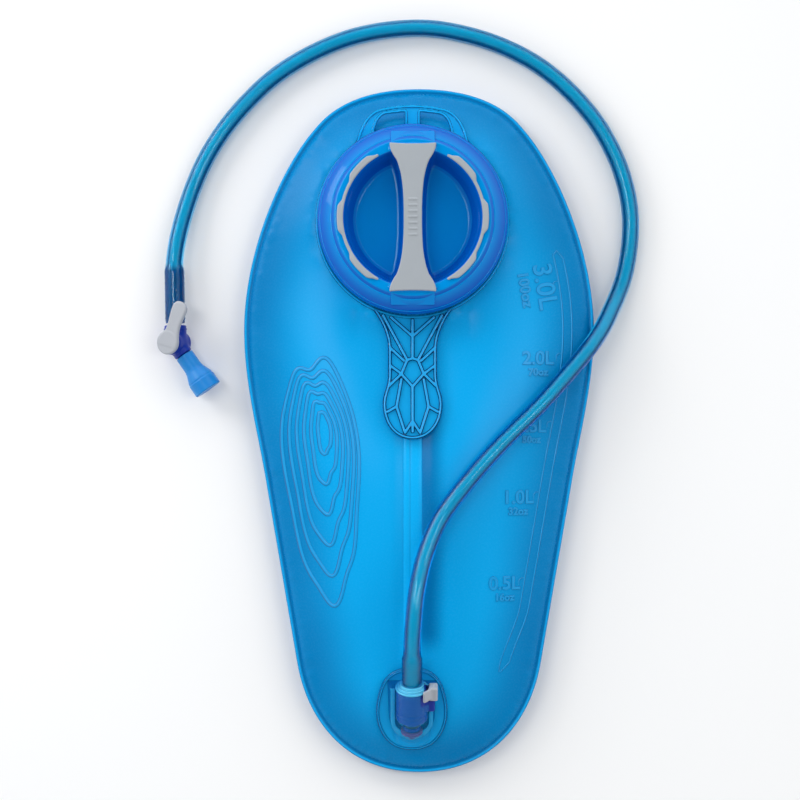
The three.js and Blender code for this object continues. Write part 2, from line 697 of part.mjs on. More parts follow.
function quickLinkBody() {
  const profile = [
    [0, -27], [TIP_R - 0.4, -27], [TIP_R, -26.6], [TIP_R, -24.6], [3.7, -24.6], [3.7, -22.8], [TIP_R, -22.8],
    [TIP_R, -19.7], [PLUG_R - 0.5, -19.7], [PLUG_R, -19.2], [PLUG_R, 0.4], [9.9, 0.6], [9.9, 1.6], [8.4, 2.4],
    [8.2, 3.4], [BARB_R, 3.4],
  ];
  const RIDGES = 3;
  const pitch = (QUICK_BARB_TO - 5) / RIDGES;
  for (let i = 0; i < RIDGES; i += 1) {
    const from = 5 + pitch * i;
    profile.push([BARB_R, from], [BARB_RIDGE_R, from + 0.3], [BARB_R, from + pitch - 0.6]);
  }
  profile.push([BARB_R - 0.3, QUICK_BARB_TO], [0, QUICK_BARB_TO]);
  const body = alongY(turned(profile));
  const lug = box(6, 13.4, -13.2, 1.6, -3.2, 4.2);
  const bore = alongY(drum(FLOW_R, -40, 40));
  const pocket = box(...BUTTON_POCKET);
  const springHole = drum(1.9, 5, 9).rotateY(Math.PI / 2).translate(0, -1.5, 1);
  return inPlugFrame(carved(body, [lug], [bore, pocket, springHole]));
}

const quickLinkORing = () => inPlugFrame(alongY(torus(4.45, 0.7)).translate(0, -23.7, 0));

function releaseButton() {
  const shape = new THREE.Shape();
  shape.moveTo(9.9, -5.2);
  shape.lineTo(13.6, -5.2);
  shape.quadraticCurveTo(15, -4.6, 15, -2.6);
  shape.lineTo(15, 1.6);
  shape.quadraticCurveTo(14.8, 3.5, 12.8, 3.5);
  shape.lineTo(9.9, 3.5);
  return inPlugFrame(plate(shape, -2, 4.2, 4));
}

function buttonSpring() {
  const coil = rod(new Helix(1.2, 5.5, 9.3, 3), 0.25, 5, 28);
  return inPlugFrame(coil.rotateY(Math.PI / 2).translate(0, -1.5, 1));
}

// ---- hose ---------------------------------------------------------------------------------

// Points on the hose's centreline, from the plug's barb over the bag and round to the valve.
const HOSE_ROUTE = [
  [-4.4, -131.1, 46.4], [-4.2, -120, 50.3], [-3.4, -108.5, 52], [-1.6, -92, 50.2], [3.2, -72, 45.8],
  [11.9, -51.6, 41.8], [26.6, -31.3, 40.2], [47.2, -8, 37], [71.2, 15.5, 31.6], [92.5, 39.2, 25],
  [102, 50.6, 21.6], [109.6, 61.5, 17], [115.7, 73, 11.8], [120.2, 82.5, 8.2], [123.6, 91.5, 6.2],
  [125.8, 100.5, 5.5], [127.8, 115.3, 5.4], [127.9, 130.4, 5.4], [125.6, 145.5, 5.4], [119.5, 164.3, 5.4],
  [107.6, 186, 5.4], [91.6, 204.8, 5.4], [73.3, 220.2, 5.4], [52.1, 231.7, 5.4], [30.5, 239, 5.4],
  [6.8, 243.2, 5.4], [-17.5, 242.4, 5.4], [-42, 237.4, 5.4], [-66, 227.4, 5.4], [-86, 215, 5.4],
  [-102, 200.6, 5.4], [-116.6, 183.6, 5.4], [-128.2, 165.5, 5.4], [-136.4, 147.3, 5.6], [-142, 130, 6.9],
  [-145.6, 114.5, 8.7], [-147.2, 103, 9.5], [-147.4, 97.6, 9.6],
];

function onHoseEnd(radius, from, to) {
  const bore = BARB_RIDGE_R + 0.4;
  return alongY(ring([[bore, from], [radius, from], [radius, to], [bore, to]], SMALL_FACETS));
}

const hoseEndQuickLink = () => inPlugFrame(onHoseEnd(HOSE_END_R, QUICK_BARB_FROM, QUICK_BARB_TO + 0.2));

function hose() {
  const curve = new THREE.CatmullRomCurve3(HOSE_ROUTE.map(([x, y, z]) => v3(x, y, z)), false, 'centripetal');
  return rod(curve, HOSE_R, 10, 66);
}

// ---- shut-off valve and mouthpiece --------------------------------------------------------

const valveFrame = new THREE.Matrix4().makeRotationZ(VALVE_TURN).setPosition(VALVE);
const spoolFrame = valveFrame.clone().multiply(new THREE.Matrix4().makeRotationY(-SPOOL_TILT));
const inValveFrame = (geometry) => geometry.clone().applyMatrix4(valveFrame);
const inSpoolFrame = (geometry) => geometry.clone().applyMatrix4(spoolFrame);
const towardsMouth = (geometry) => alongY(geometry).rotateZ(OUTLET_ANGLE - Math.PI / 2 - VALVE_TURN);

function shutoffBody() {
  const profile = [[0, 0], [6.6, 0], [6.6, 9.5], [5.8, 11.4], [BARB_R, 11.4]];
  const RIDGES = 4;
  const pitch = (BITE_BARB_TO - BITE_BARB_FROM) / RIDGES;
  for (let i = 0; i < RIDGES; i += 1) {
    const from = BITE_BARB_FROM + pitch * i;
    profile.push([BARB_R, from], [BARB_RIDGE_R, from + 0.3], [BARB_R, from + pitch - 0.6]);
  }
  profile.push([BARB_R - 0.3, BITE_BARB_TO], [0, BITE_BARB_TO]);
  const inlet = inValveFrame(alongY(turned(profile)));
  const stubProfile = [[0, 0], [5.6, 0], [5.6, 8.4], [4, 8.4], [4, 14], [4.5, 14.5], [3.9, 18], [0, 18]];
  const stub = inValveFrame(towardsMouth(turned(stubProfile)));
  const barrel = inSpoolFrame(turned([
    [0, BARREL_FROM], [BARREL_R - 0.8, BARREL_FROM], [BARREL_R, BARREL_FROM + 0.8],
    [BARREL_R, BARREL_TO - 0.5], [BARREL_R - 0.5, BARREL_TO], [0, BARREL_TO],
  ], SMALL_FACETS));
  const bore = inSpoolFrame(drum(SPOOL_BORE_R, BARREL_FROM + 1.4, BARREL_TO + 2));
  const inFlow = inValveFrame(alongY(drum(FLOW_R, 2, 50)));
  const outFlow = inValveFrame(towardsMouth(drum(FLOW_R, 2, 30)));
  return carved(barrel, [inlet, stub], [bore, inFlow, outFlow]);
}

const SPOOL_FROM = BARREL_FROM + 1.7;
const RING_GROOVES = [-3.55, 4.9]; // middles of the spool's two grooves

function shutoffSpool() {
  const [lower, upper] = RING_GROOVES;
  const HALF = 0.85; // half of a groove's width
  const GROOVE_R = 3.3;
  const STEM_R = 2.8;
  const body = turned([
    [0, SPOOL_FROM], [SPOOL_R, SPOOL_FROM], [SPOOL_R, lower - HALF], [GROOVE_R, lower - HALF],
    [GROOVE_R, lower + HALF], [SPOOL_R, lower + HALF], [SPOOL_R, upper - HALF], [GROOVE_R, upper - HALF],
    [GROOVE_R, upper + HALF], [SPOOL_R, upper + HALF], [SPOOL_R, BARREL_TO - 0.2],
    [STEM_R, BARREL_TO - 0.2], [STEM_R, BARREL_TO + 2.2], [0, BARREL_TO + 2.2],
  ], SMALL_FACETS);
  const cross = [alongY(drum(FLOW_R, 0, 10)), towardsMouth(drum(FLOW_R, 0, 10))];
  return inSpoolFrame(carved(body, [], cross));
}

const spoolORing = (z) => inSpoolFrame(torus(4.05, 0.65).translate(0, 0, z));

function shutoffLever() {
  const low = BARREL_TO + 0.4;
  const disc = turned([
    [0, low], [LEVER_R - 0.4, low], [LEVER_R, low + 0.4], [LEVER_R, low + LEVER_THICKNESS - 0.7],
    [LEVER_R - 0.8, low + LEVER_THICKNESS], [0, low + LEVER_THICKNESS + 0.3],
  ], SMALL_FACETS);
  const arm = new THREE.Shape();
  arm.moveTo(0, -6.6);
  arm.bezierCurveTo(9, -6.4, 14, -6.2, 22, -5.6);
  arm.bezierCurveTo(LEVER_REACH, -5.4, LEVER_REACH + 1, 3.8, 21, 4.2);
  arm.bezierCurveTo(14, 4.6, 8, 4, 3, 6.4);
  const armPlate = plate(arm, low + 0.2, low + LEVER_THICKNESS - 0.2, 6).rotateZ(LEVER_ANGLE);
  const socket = drum(3.2, low - 1, low + 1.9);
  return inSpoolFrame(carved(disc, [armPlate], [socket]));
}

const hoseEndBite = () => inValveFrame(onHoseEnd(HOSE_END_R - 0.2, BITE_BARB_FROM - 0.2, BITE_BARB_TO + 0.2));

function mouthpiece() {
  const skin = ring([
    [4.9, 8.9], [5.9, 8.9], [6.1, 13], [6.3, 16.6], [8.1, 25.5], [8.5, 28],
    [8.5, MOUTHPIECE_END - 0.8], [7.9, MOUTHPIECE_END], [0.01, MOUTHPIECE_END - 0.6],
    [0.01, MOUTHPIECE_END - 2.2], [6.2, MOUTHPIECE_END - 2.4], [6.3, 26], [4.9, 18.6],
  ], SMALL_FACETS);
  const slit = alongY(box(-3.6, 3.6, -0.3, 0.3, MOUTHPIECE_END - 4, MOUTHPIECE_END + 2));
  const placed = alongY(skin).rotateZ(OUTLET_ANGLE - Math.PI / 2 - VALVE_TURN);
  const cut = slit.rotateZ(OUTLET_ANGLE - Math.PI / 2 - VALVE_TURN);
  return inValveFrame(carved(placed, [], [cut]));
}

// ---- colours and assembly -----------------------------------------------------------------

const FINISHES = {
  film: [0x1398dc, 0.3, 0],
  clear: [0x3aa8e6, 0.18, 0],
  cap: [0x0a5fae, 0.3, 0],
  grip: [0xa9aeb4, 0.6, 0],
  indigo: [0x24409e, 0.35, 0],
  hose: [0x1f7fd0, 0.25, 0],
  silicone: [0x1b78d8, 0.45, 0],
  seal: [0x5a2b3c, 0.7, 0],
  rubber: [0x2b3138, 0.75, 0],
  button: [0xcfd2d6, 0.5, 0],
  steel: [0xb8bcc2, 0.3, 1],
};

const group = new THREE.Group();

function add(name, geometry, finish) {
  const [color, roughness, metalness] = FINISHES[finish];
  const mesh = new THREE.Mesh(geometry, new THREE.MeshStandardMaterial({ color, roughness, metalness }));
  mesh.name = name;
  group.add(mesh);
}

add('front_film', frontFilm(), 'film');
add('back_film', backFilm(), 'film');
add('centre_baffle', centreBaffle(), 'film');
add('fill_port', fillPort(), 'clear');
add('cap_shell', capShell(), 'cap');
add('cap_bar_grip', capBarGrip(), 'grip');
add('cap_side_grip_right', capSideGrip(1), 'grip');
add('cap_side_grip_left', capSideGrip(-1), 'grip');
add('cap_gasket', capGasket(), 'rubber');
add('outlet_port', outletPort(), 'clear');
add('outlet_poppet', outletPoppet(), 'seal');
add('poppet_seal', poppetSeal(), 'rubber');
add('poppet_spring', poppetSpring(), 'steel');
add('quick_link_body', quickLinkBody(), 'indigo');
add('quick_link_o_ring', quickLinkORing(), 'rubber');
add('release_button', releaseButton(), 'button');
add('button_spring', buttonSpring(), 'steel');
add('hose_end_quick_link', hoseEndQuickLink(), 'hose');
add('hose', hose(), 'hose');
add('hose_end_bite', hoseEndBite(), 'hose');
add('shutoff_body', shutoffBody(), 'indigo');
add('shutoff_spool', shutoffSpool(), 'indigo');
add('spool_o_ring_lower', spoolORing(RING_GROOVES[0]), 'rubber');
add('spool_o_ring_upper', spoolORing(RING_GROOVES[1]), 'rubber');
add('shutoff_lever', shutoffLever(), 'button');
add('mouthpiece', mouthpiece(), 'silicone');

export default group;
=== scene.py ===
import math

import bmesh
import bpy
import numpy as np
from mathutils import Matrix, Vector
from mathutils.bvhtree import BVHTree
from mathutils.geometry import delaunay_2d_cdt, interpolate_bezier


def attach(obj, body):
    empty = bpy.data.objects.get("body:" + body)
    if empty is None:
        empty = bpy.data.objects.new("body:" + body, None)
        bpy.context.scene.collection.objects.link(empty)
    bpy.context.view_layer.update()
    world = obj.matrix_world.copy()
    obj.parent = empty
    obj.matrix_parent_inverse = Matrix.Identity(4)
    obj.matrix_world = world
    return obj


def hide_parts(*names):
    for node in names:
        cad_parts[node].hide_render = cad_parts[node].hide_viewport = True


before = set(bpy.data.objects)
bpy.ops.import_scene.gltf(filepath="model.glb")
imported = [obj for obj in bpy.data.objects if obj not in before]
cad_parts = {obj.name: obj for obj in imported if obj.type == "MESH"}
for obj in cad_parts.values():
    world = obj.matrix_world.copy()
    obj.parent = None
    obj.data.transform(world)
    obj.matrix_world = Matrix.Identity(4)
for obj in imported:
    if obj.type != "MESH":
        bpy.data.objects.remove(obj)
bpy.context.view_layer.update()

# Lengths below are in millimetres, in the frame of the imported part. They become metres as each
# mesh is made.
MM = 0.001


# ---- driving dimensions ---------------------------------------------------------------------

RIM_Z = 13.0  # height of the weld between the films
FILM = 0.45  # thickness of one film
WELD = 3.2  # width of the weld round the outline
FRONT_LOAD = 0.0078  # curvature that the filling gives the front film, 1/mm
BACK_LOAD = 0.009
HALF_LENGTH = 205.0
HALF_WIDTH = 105.0

PORT = np.array([-4.0, 124.0])  # axis of the fill port
PORT_Z = 27.3  # underside of its flange
FLANGE_R = 57.5
COLLAR_R = 45.5
COLLAR_BORE = 42.0
COLLAR_TOP = 44.0
HANDLE_SLOPE = 0.09
HANDLE_TIP = 128.9  # from the port's axis

BAFFLE_HALF_WIDTH = 5.3
BAFFLE_Y = (-122.0, 24.0)
BAFFLE_TOP = 34.4

SOCKET = Vector((-4.4, -150.8, 38.4))  # mouth of the outlet's socket, on the plug's axis
PLUG_TILT = math.radians(22)
OUTLET = Vector((-4.4, -164.4, 25.0))  # middle of the outlet's flange
OUTLET_TILT = math.radians(12)

VALVE = Vector((-146.6, 52.8, 9.6))
VALVE_TURN = math.radians(1)
SPOOL_TILT = math.radians(22)
MOUTH_ANGLE = math.radians(-55)

HOSE_R = 5.1
HOSE_BORE = 3.1

PLUG_FRAME = Matrix.Translation(SOCKET) @ Matrix.Rotation(PLUG_TILT, 4, "X")
OUTLET_FRAME = Matrix.Translation(OUTLET) @ Matrix.Rotation(OUTLET_TILT, 4, "X")
VALVE_FRAME = Matrix.Translation(VALVE) @ Matrix.Rotation(VALVE_TURN, 4, "Z")
SPOOL_FRAME = VALVE_FRAME @ Matrix.Rotation(-SPOOL_TILT, 4, "Y")
MOUTH_FRAME = Matrix.Translation(VALVE) @ Matrix.Rotation(MOUTH_ANGLE - math.pi / 2, 4, "Z")

# Points on the hose's centreline, from the plug's barb over the bag and round to the valve.
HOSE_ROUTE = [
    (-4.4, -131.1, 46.4), (-4.2, -120, 50.3), (-3.4, -108.5, 52), (-1.6, -92, 50.2), (3.2, -72, 45.8),
    (11.9, -51.6, 41.8), (26.6, -31.3, 40.2), (47.2, -8, 37), (71.2, 15.5, 31.6), (92.5, 39.2, 25),
    (102, 50.6, 21.6), (109.6, 61.5, 17), (115.7, 73, 11.8), (120.2, 82.5, 8.2), (123.6, 91.5, 6.2),
    (125.8, 100.5, 5.5), (127.8, 115.3, 5.4), (127.9, 130.4, 5.4), (125.6, 145.5, 5.4), (119.5, 164.3, 5.4),
    (107.6, 186, 5.4), (91.6, 204.8, 5.4), (73.3, 220.2, 5.4), (52.1, 231.7, 5.4), (30.5, 239, 5.4),
    (6.8, 243.2, 5.4), (-17.5, 242.4, 5.4), (-42, 237.4, 5.4), (-66, 227.4, 5.4), (-86, 215, 5.4),
    (-102, 200.6, 5.4), (-116.6, 183.6, 5.4), (-128.2, 165.5, 5.4), (-136.4, 147.3, 5.6), (-142, 130, 6.9),
    (-145.6, 114.5, 8.7), (-147.2, 103, 9.5), (-147.4, 97.6, 9.6),
]  # fmt: skip


# ---- numbers --------------------------------------------------------------------------------

def lerp(a, b, t):
    return a + (b - a) * t


def smoothstep(x, low, high):
    t = np.clip((x - low) / (high - low), 0, 1)
    return t * t * (3 - 2 * t)


def moved(points, matrix):
    """Points carried by a 4x4 matrix."""
    m = np.array(matrix)
    return np.asarray(points, float) @ m[:3, :3].T + m[:3, 3]


def sampled(grid, u, v):
    """The values of a grid between its nodes; u and v count nodes."""
    i, j = u.astype(int), v.astype(int)
    near = lerp(grid[i, j], grid[i + 1, j], u - i)
    far = lerp(grid[i, j + 1], grid[i + 1, j + 1], u - i)
    return lerp(near, far, v - j)


def circle(count):
    angles = np.linspace(0, 2 * math.pi, count, endpoint=False)
    return np.column_stack([np.cos(angles), np.sin(angles)])


# ---- meshes ---------------------------------------------------------------------------------

def make_piece(name, points, faces, body, material, replaces=(), slot=None, crease=40, tone=None):
    """A piece from points in millimetres and faces, riding on a body of the frame.
    tone is a number for each point that the material may read, as an attribute of that name."""
    mesh = bpy.data.meshes.new(name)
    mesh.from_pydata((np.asarray(points, float) * MM).tolist(), [], [list(map(int, f)) for f in faces])
    mesh.validate()
    mesh.shade_smooth()
    mesh.set_sharp_from_angle(angle=math.radians(crease))
    mesh.materials.append(material)
    if tone is not None:
        attribute = mesh.attributes.new("tone", "FLOAT", "POINT")
        attribute.data.foreach_set("value", np.asarray(tone, np.float32))
    piece = bpy.data.objects.new(name, mesh)
    bpy.context.scene.collection.objects.link(piece)
    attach(piece, body)
    if replaces:
        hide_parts(*replaces)
    return piece


def strip_faces(rows, columns, closed_rows=False):
    """Quads over a lattice of points stored row by row, each row a closed ring."""
    faces = []
    for j in range(rows if closed_rows else rows - 1):
        for i in range(columns):
            a, b = j * columns + i, j * columns + (i + 1) % columns
            c = ((j + 1) % rows) * columns + (i + 1) % columns
            d = ((j + 1) % rows) * columns + i
            faces.append((a, b, c, d))
    return faces


def end_faces(rows, columns):
    """The two faces that close the ends of a lattice."""
    return [tuple(range(columns))[::-1], tuple((rows - 1) * columns + k for k in range(columns))]


def gathered(parts):
    """Several lots of points and faces as one."""
    points, faces = [], []
    for some_points, some_faces in parts:
        start = len(points)
        points += [tuple(p) for p in some_points]
        faces += [tuple(start + k for k in f) for f in some_faces]
    return points, faces


def lathe(profile, segments):
    """A closed profile of (radius, height) pairs turned about +Z, as points and faces."""
    rows = [np.column_stack([r * circle(segments), np.full(segments, z)]) for r, z in profile]
    return np.concatenate(rows), strip_faces(len(profile), segments, closed_rows=True)


def rounded(profile, radius, steps=4):
    """A closed profile with every corner that has room for it rounded."""
    corners = np.asarray(profile, float)
    out = []
    for i, p in enumerate(corners):
        before, after = corners[i - 1] - p, corners[(i + 1) % len(corners)] - p
        a, b = np.linalg.norm(before), np.linalg.norm(after)
        back = min(radius, 0.45 * a, 0.45 * b)
        start, end = p + before / a * back, p + after / b * back
        for t in np.linspace(0, 1, steps + 1):
            out.append((1 - t) ** 2 * start + 2 * t * (1 - t) * p + t * t * end)
    return out


def distances_along(line):
    """How far along a line each of its points is."""
    return np.concatenate([[0], np.cumsum(np.linalg.norm(np.diff(line, axis=0), axis=1))])


def resampled(points, spacing, is_closed=False):
    """Points at even distances along a line."""
    line = np.asarray(points, float)
    if is_closed:
        line = np.vstack([line, line[:1]])
    along = distances_along(line)
    count = max(2, round(along[-1] / spacing))
    at = np.linspace(0, along[-1], count + 1)
    even = np.stack([np.interp(at, along, line[:, k]) for k in range(line.shape[1])], 1)
    return even[:-1] if is_closed else even


def catmull_rom(points, per_span):
    """A centripetal Catmull-Rom line through the points."""
    knots = np.asarray(points, float)
    knots = np.vstack([2 * knots[0] - knots[1], knots, 2 * knots[-1] - knots[-2]])
    line = []
    for p0, p1, p2, p3 in zip(knots, knots[1:], knots[2:], knots[3:]):
        t1 = np.linalg.norm(p1 - p0) ** 0.5
        t2 = t1 + np.linalg.norm(p2 - p1) ** 0.5
        t3 = t2 + np.linalg.norm(p3 - p2) ** 0.5
        for t in np.linspace(t1, t2, per_span, endpoint=False):
            share = (t - t1) / (t2 - t1)
            a1, a2, a3 = lerp(p0, p1, t / t1), lerp(p1, p2, share), lerp(p2, p3, (t - t2) / (t3 - t2))
            b1, b2 = lerp(a1, a2, t / t2), lerp(a2, a3, (t - t1) / (t3 - t1))
            line.append(lerp(b1, b2, share))
    return np.array([*line, knots[-2]])


def swept(path, rings, sides):
    """Loops of points round a path. rings is a radius for each point of the path."""
    tangents = np.gradient(path, axis=0)
    tangents /= np.linalg.norm(tangents, axis=1)[:, None]
    side = np.cross(tangents[0], [0.0, 0.0, 1.0])
    side /= np.linalg.norm(side)
    loops = []
    for point, tangent, radius in zip(path, tangents, rings):
        side = side - tangent * (side @ tangent)
        side /= np.linalg.norm(side)
        loops.append(point + radius * circle(sides) @ np.stack([side, np.cross(tangent, side)]))
    return np.concatenate(loops)


# ---- implicit shapes ------------------------------------------------------------------------

# A moulded shape is a function of points that is negative inside it, and gives the distance
# to the surface near it. Fillets come from joining and cutting such functions smoothly.


def joined(a, b, fillet):
    h = np.clip(0.5 + 0.5 * (b - a) / fillet, 0, 1)
    return lerp(b, a, h) - fillet * h * (1 - h)


def cut_out(a, b, fillet):
    return -joined(-a, b, fillet)


def common(a, b, fillet):
    return -joined(-a, -b, fillet)


def cylinder(p, radius, low, high, axis=2, rounding=0.0):
    others = [k for k in range(3) if k != axis]
    across = np.hypot(p[..., others[0]], p[..., others[1]]) - (radius - rounding)
    along = np.abs(p[..., axis] - (low + high) / 2) - (high - low) / 2 + rounding
    return bounded(across, along) - rounding


def bounded(a, b):
    """Distance to the shape where both a and b are negative."""
    outside = np.hypot(np.maximum(a, 0), np.maximum(b, 0))
    return outside + np.minimum(np.maximum(a, b), 0)


def cuboid(p, low, high, rounding=0.0):
    low, high = np.array(low, float), np.array(high, float)
    q = np.abs(p - (low + high) / 2) - (high - low) / 2 + rounding
    outside = np.linalg.norm(np.maximum(q, 0), axis=-1)
    return outside + np.minimum(q.max(axis=-1), 0) - rounding


def bar(p, start, end, half_width):
    """Distance in the XY plane to a straight bar with round ends."""
    a, b = np.array(start, float), np.array(end, float)
    q = p[..., :2] - a
    t = np.clip((q @ (b - a)) / ((b - a) @ (b - a)), 0, 1)
    return np.linalg.norm(q - t[..., None] * (b - a), axis=-1) - half_width


def polygon(x, y, corners):
    """Signed distance to a closed polygon in a plane."""
    corners = np.asarray(corners, float)
    nearest = np.full(x.shape, np.inf)
    inside = np.zeros(x.shape, bool)
    for a, b in zip(corners, np.roll(corners, -1, axis=0)):
        edge = b - a
        dx, dy = x - a[0], y - a[1]
        t = np.clip((dx * edge[0] + dy * edge[1]) / (edge @ edge), 0, 1)
        nearest = np.minimum(nearest, (dx - t * edge[0]) ** 2 + (dy - t * edge[1]) ** 2)
        if a[1] != b[1]:
            crosses = (a[1] > y) != (b[1] > y)
            inside ^= crosses & (x < edge[0] * (y - a[1]) / edge[1] + a[0])
    return np.where(inside, -1, 1) * np.sqrt(nearest)


CUBE = np.array([[i, j, k] for i in (0, 1) for j in (0, 1) for k in (0, 1)])
CUBE_EDGES = [(a, b) for a in range(8) for b in range(a) if np.abs(CUBE[a] - CUBE[b]).sum() == 1]


def skin(shape, low, high, step):
    """The surface of an implicit shape inside a box, as points and quads."""
    low = np.array(low, float)
    counts = np.ceil((np.array(high, float) - low) / step).astype(int) + 1
    axes = [low[k] + step * np.arange(counts[k]) for k in range(3)]
    values = np.concatenate([
        shape(np.stack(np.meshgrid(slab, axes[1], axes[2], indexing="ij"), -1))
        for slab in np.array_split(axes[0], max(1, counts[0] // 24))
    ])  # fmt: skip
    corners = np.stack([
        values[i : counts[0] - 1 + i, j : counts[1] - 1 + j, k : counts[2] - 1 + k] for i, j, k in CUBE
    ])  # fmt: skip
    inside = corners < 0
    mixed = inside.any(0) & ~inside.all(0)
    cells = np.argwhere(mixed)
    number = np.full(mixed.shape, -1)
    number[mixed] = np.arange(len(cells))
    at = corners[:, mixed]
    total, crossings = np.zeros((len(cells), 3)), np.zeros(len(cells))
    for a, b in CUBE_EDGES:
        crossed = (at[a] < 0) != (at[b] < 0)
        t = np.where(crossed, at[a] / np.where(crossed, at[a] - at[b], 1), 0)
        total += np.where(crossed[:, None], CUBE[a] + t[:, None] * (CUBE[b] - CUBE[a]), 0)
        crossings += crossed
    points = low + step * (cells + total / crossings[:, None])
    faces = []
    negative = values < 0
    for axis in range(3):
        u, v = (axis + 1) % 3, (axis + 2) % 3
        ahead = np.take(negative, range(1, counts[axis]), axis)
        behind = np.take(negative, range(counts[axis] - 1), axis)
        edges = np.argwhere(ahead != behind)
        edges = edges[(edges[:, u] > 0) & (edges[:, v] > 0)]
        edges = edges[(edges[:, u] < counts[u] - 1) & (edges[:, v] < counts[v] - 1)]
        quad = []
        for du, dv in ((-1, -1), (0, -1), (0, 0), (-1, 0)):
            cell = edges.copy()
            cell[:, u] += du
            cell[:, v] += dv
            quad.append(number[tuple(cell.T)])
        quad = np.stack(quad, 1)
        outward = behind[tuple(edges.T)]
        faces.append(np.where(outward[:, None], quad, quad[:, ::-1]))
    return settled(points, shape, step), np.concatenate(faces)


def settled(points, shape, step):
    """The points, moved onto the shape's surface."""
    for _ in range(3):
        value = shape(points)
        nudge = 0.05 * step
        slope = np.stack([(shape(points + nudge * axis) - value) / nudge for axis in np.eye(3)], 1)
        size = np.maximum((slope**2).sum(1), 0.2)
        shift = (value / size)[:, None] * slope
        limit = 0.5 * step / np.maximum(np.linalg.norm(shift, axis=1), 1e-9)
        points = points - shift * np.minimum(1, limit)[:, None]
    return points


# ---- materials ------------------------------------------------------------------------------

def principled(name, color, roughness, **settings):
    """A material with one Principled shader; an underscore in a setting stands for a space."""
    material = bpy.data.materials.new(name)
    material.use_nodes = True
    shader = material.node_tree.nodes["Principled BSDF"]
    shader.inputs["Base Color"].default_value = (*color, 1)
    shader.inputs["Roughness"].default_value = roughness
    for key, value in settings.items():
        shader.inputs[key.replace("_", " ")].default_value = value
    material.diffuse_color = (*color, 1)
    return material


def node(owner, kind, links=(), **settings):
    """A node of a material or a world, with its settings and with its inputs linked from outputs."""
    made = owner.node_tree.nodes.new(kind)
    for key, value in settings.items():
        if key in made.inputs:
            made.inputs[key].default_value = value
        else:
            setattr(made, key, value)
    for key, source in dict(links).items():
        owner.node_tree.links.new(source, made.inputs[key])
    return made


def blended(material, share, first, second):
    """Makes the base colour run from the first colour to the second as share goes from 0 to 1."""
    tree = material.node_tree
    mix = node(material, "ShaderNodeMix", {"Factor": share}, data_type="RGBA")
    mix.inputs[6].default_value, mix.inputs[7].default_value = (*first, 1), (*second, 1)
    tree.links.new(mix.outputs[2], tree.nodes["Principled BSDF"].inputs["Base Color"])
    return material


GRAIN_DEPTH = 0.0003  # in metres


def textured(material, scale, bump, tint=None, mottle=0.0, roughness=None):
    """Adds grain to a material: bump at a scale in 1/m, a slow drift towards a tint, uneven gloss."""
    tree = material.node_tree
    shader = tree.nodes["Principled BSDF"]
    place = node(material, "ShaderNodeTexCoord").outputs["Object"]
    grain = node(material, "ShaderNodeTexNoise", {"Vector": place}, Scale=scale, Detail=4.0)
    height = {"Height": grain.outputs["Fac"]}
    relief = node(material, "ShaderNodeBump", height, Strength=bump, Distance=GRAIN_DEPTH)
    tree.links.new(relief.outputs["Normal"], shader.inputs["Normal"])
    if tint is not None:
        drift = node(material, "ShaderNodeTexNoise", {"Vector": place}, Scale=scale * 0.03, Detail=2.0)
        share = node(material, "ShaderNodeMath", {0: drift.outputs["Fac"]}, operation="MULTIPLY")
        share.inputs[1].default_value = mottle
        blended(material, share.outputs[0], shader.inputs["Base Color"].default_value[:3], tint)
    if roughness is not None:
        span = node(material, "ShaderNodeMapRange", {"Value": grain.outputs["Fac"]})
        span.inputs["To Min"].default_value, span.inputs["To Max"].default_value = roughness
        tree.links.new(span.outputs["Result"], shader.inputs["Roughness"])
    return material


def absorbing(material, color, density):
    """Light that passes through the piece takes on the colour as it goes."""
    volume = node(material, "ShaderNodeVolumeAbsorption", Color=(*color, 1), Density=density)
    output = material.node_tree.nodes["Material Output"]
    material.node_tree.links.new(volume.outputs["Volume"], output.inputs["Volume"])
    return material


def toned(material, dark, light):
    """The colour runs from dark to light with the piece's tone attribute, from 0 to 1."""
    tone = node(material, "ShaderNodeAttribute", attribute_name="tone")
    return blended(material, tone.outputs["Fac"], dark, light)


def painted_slope_shade(material, face, wall, steep=0.45, flat=0.93):
    """Level faces take one colour and upright walls another. The walls' colour is painted shade: the dark
    edges that refraction and falling light give a moulding's steep sides.
    """
    normal = node(material, "ShaderNodeNewGeometry").outputs["Normal"]
    height = node(material, "ShaderNodeSeparateXYZ", {"Vector": normal}).outputs["Z"]
    upright = node(material, "ShaderNodeMath", {0: height}, operation="ABSOLUTE").outputs[0]
    share = node(material, "ShaderNodeMapRange", {"Value": upright}, interpolation_type="SMOOTHSTEP")
    share.inputs["From Min"].default_value, share.inputs["From Max"].default_value = steep, flat
    return blended(material, share.outputs["Result"], wall, face)
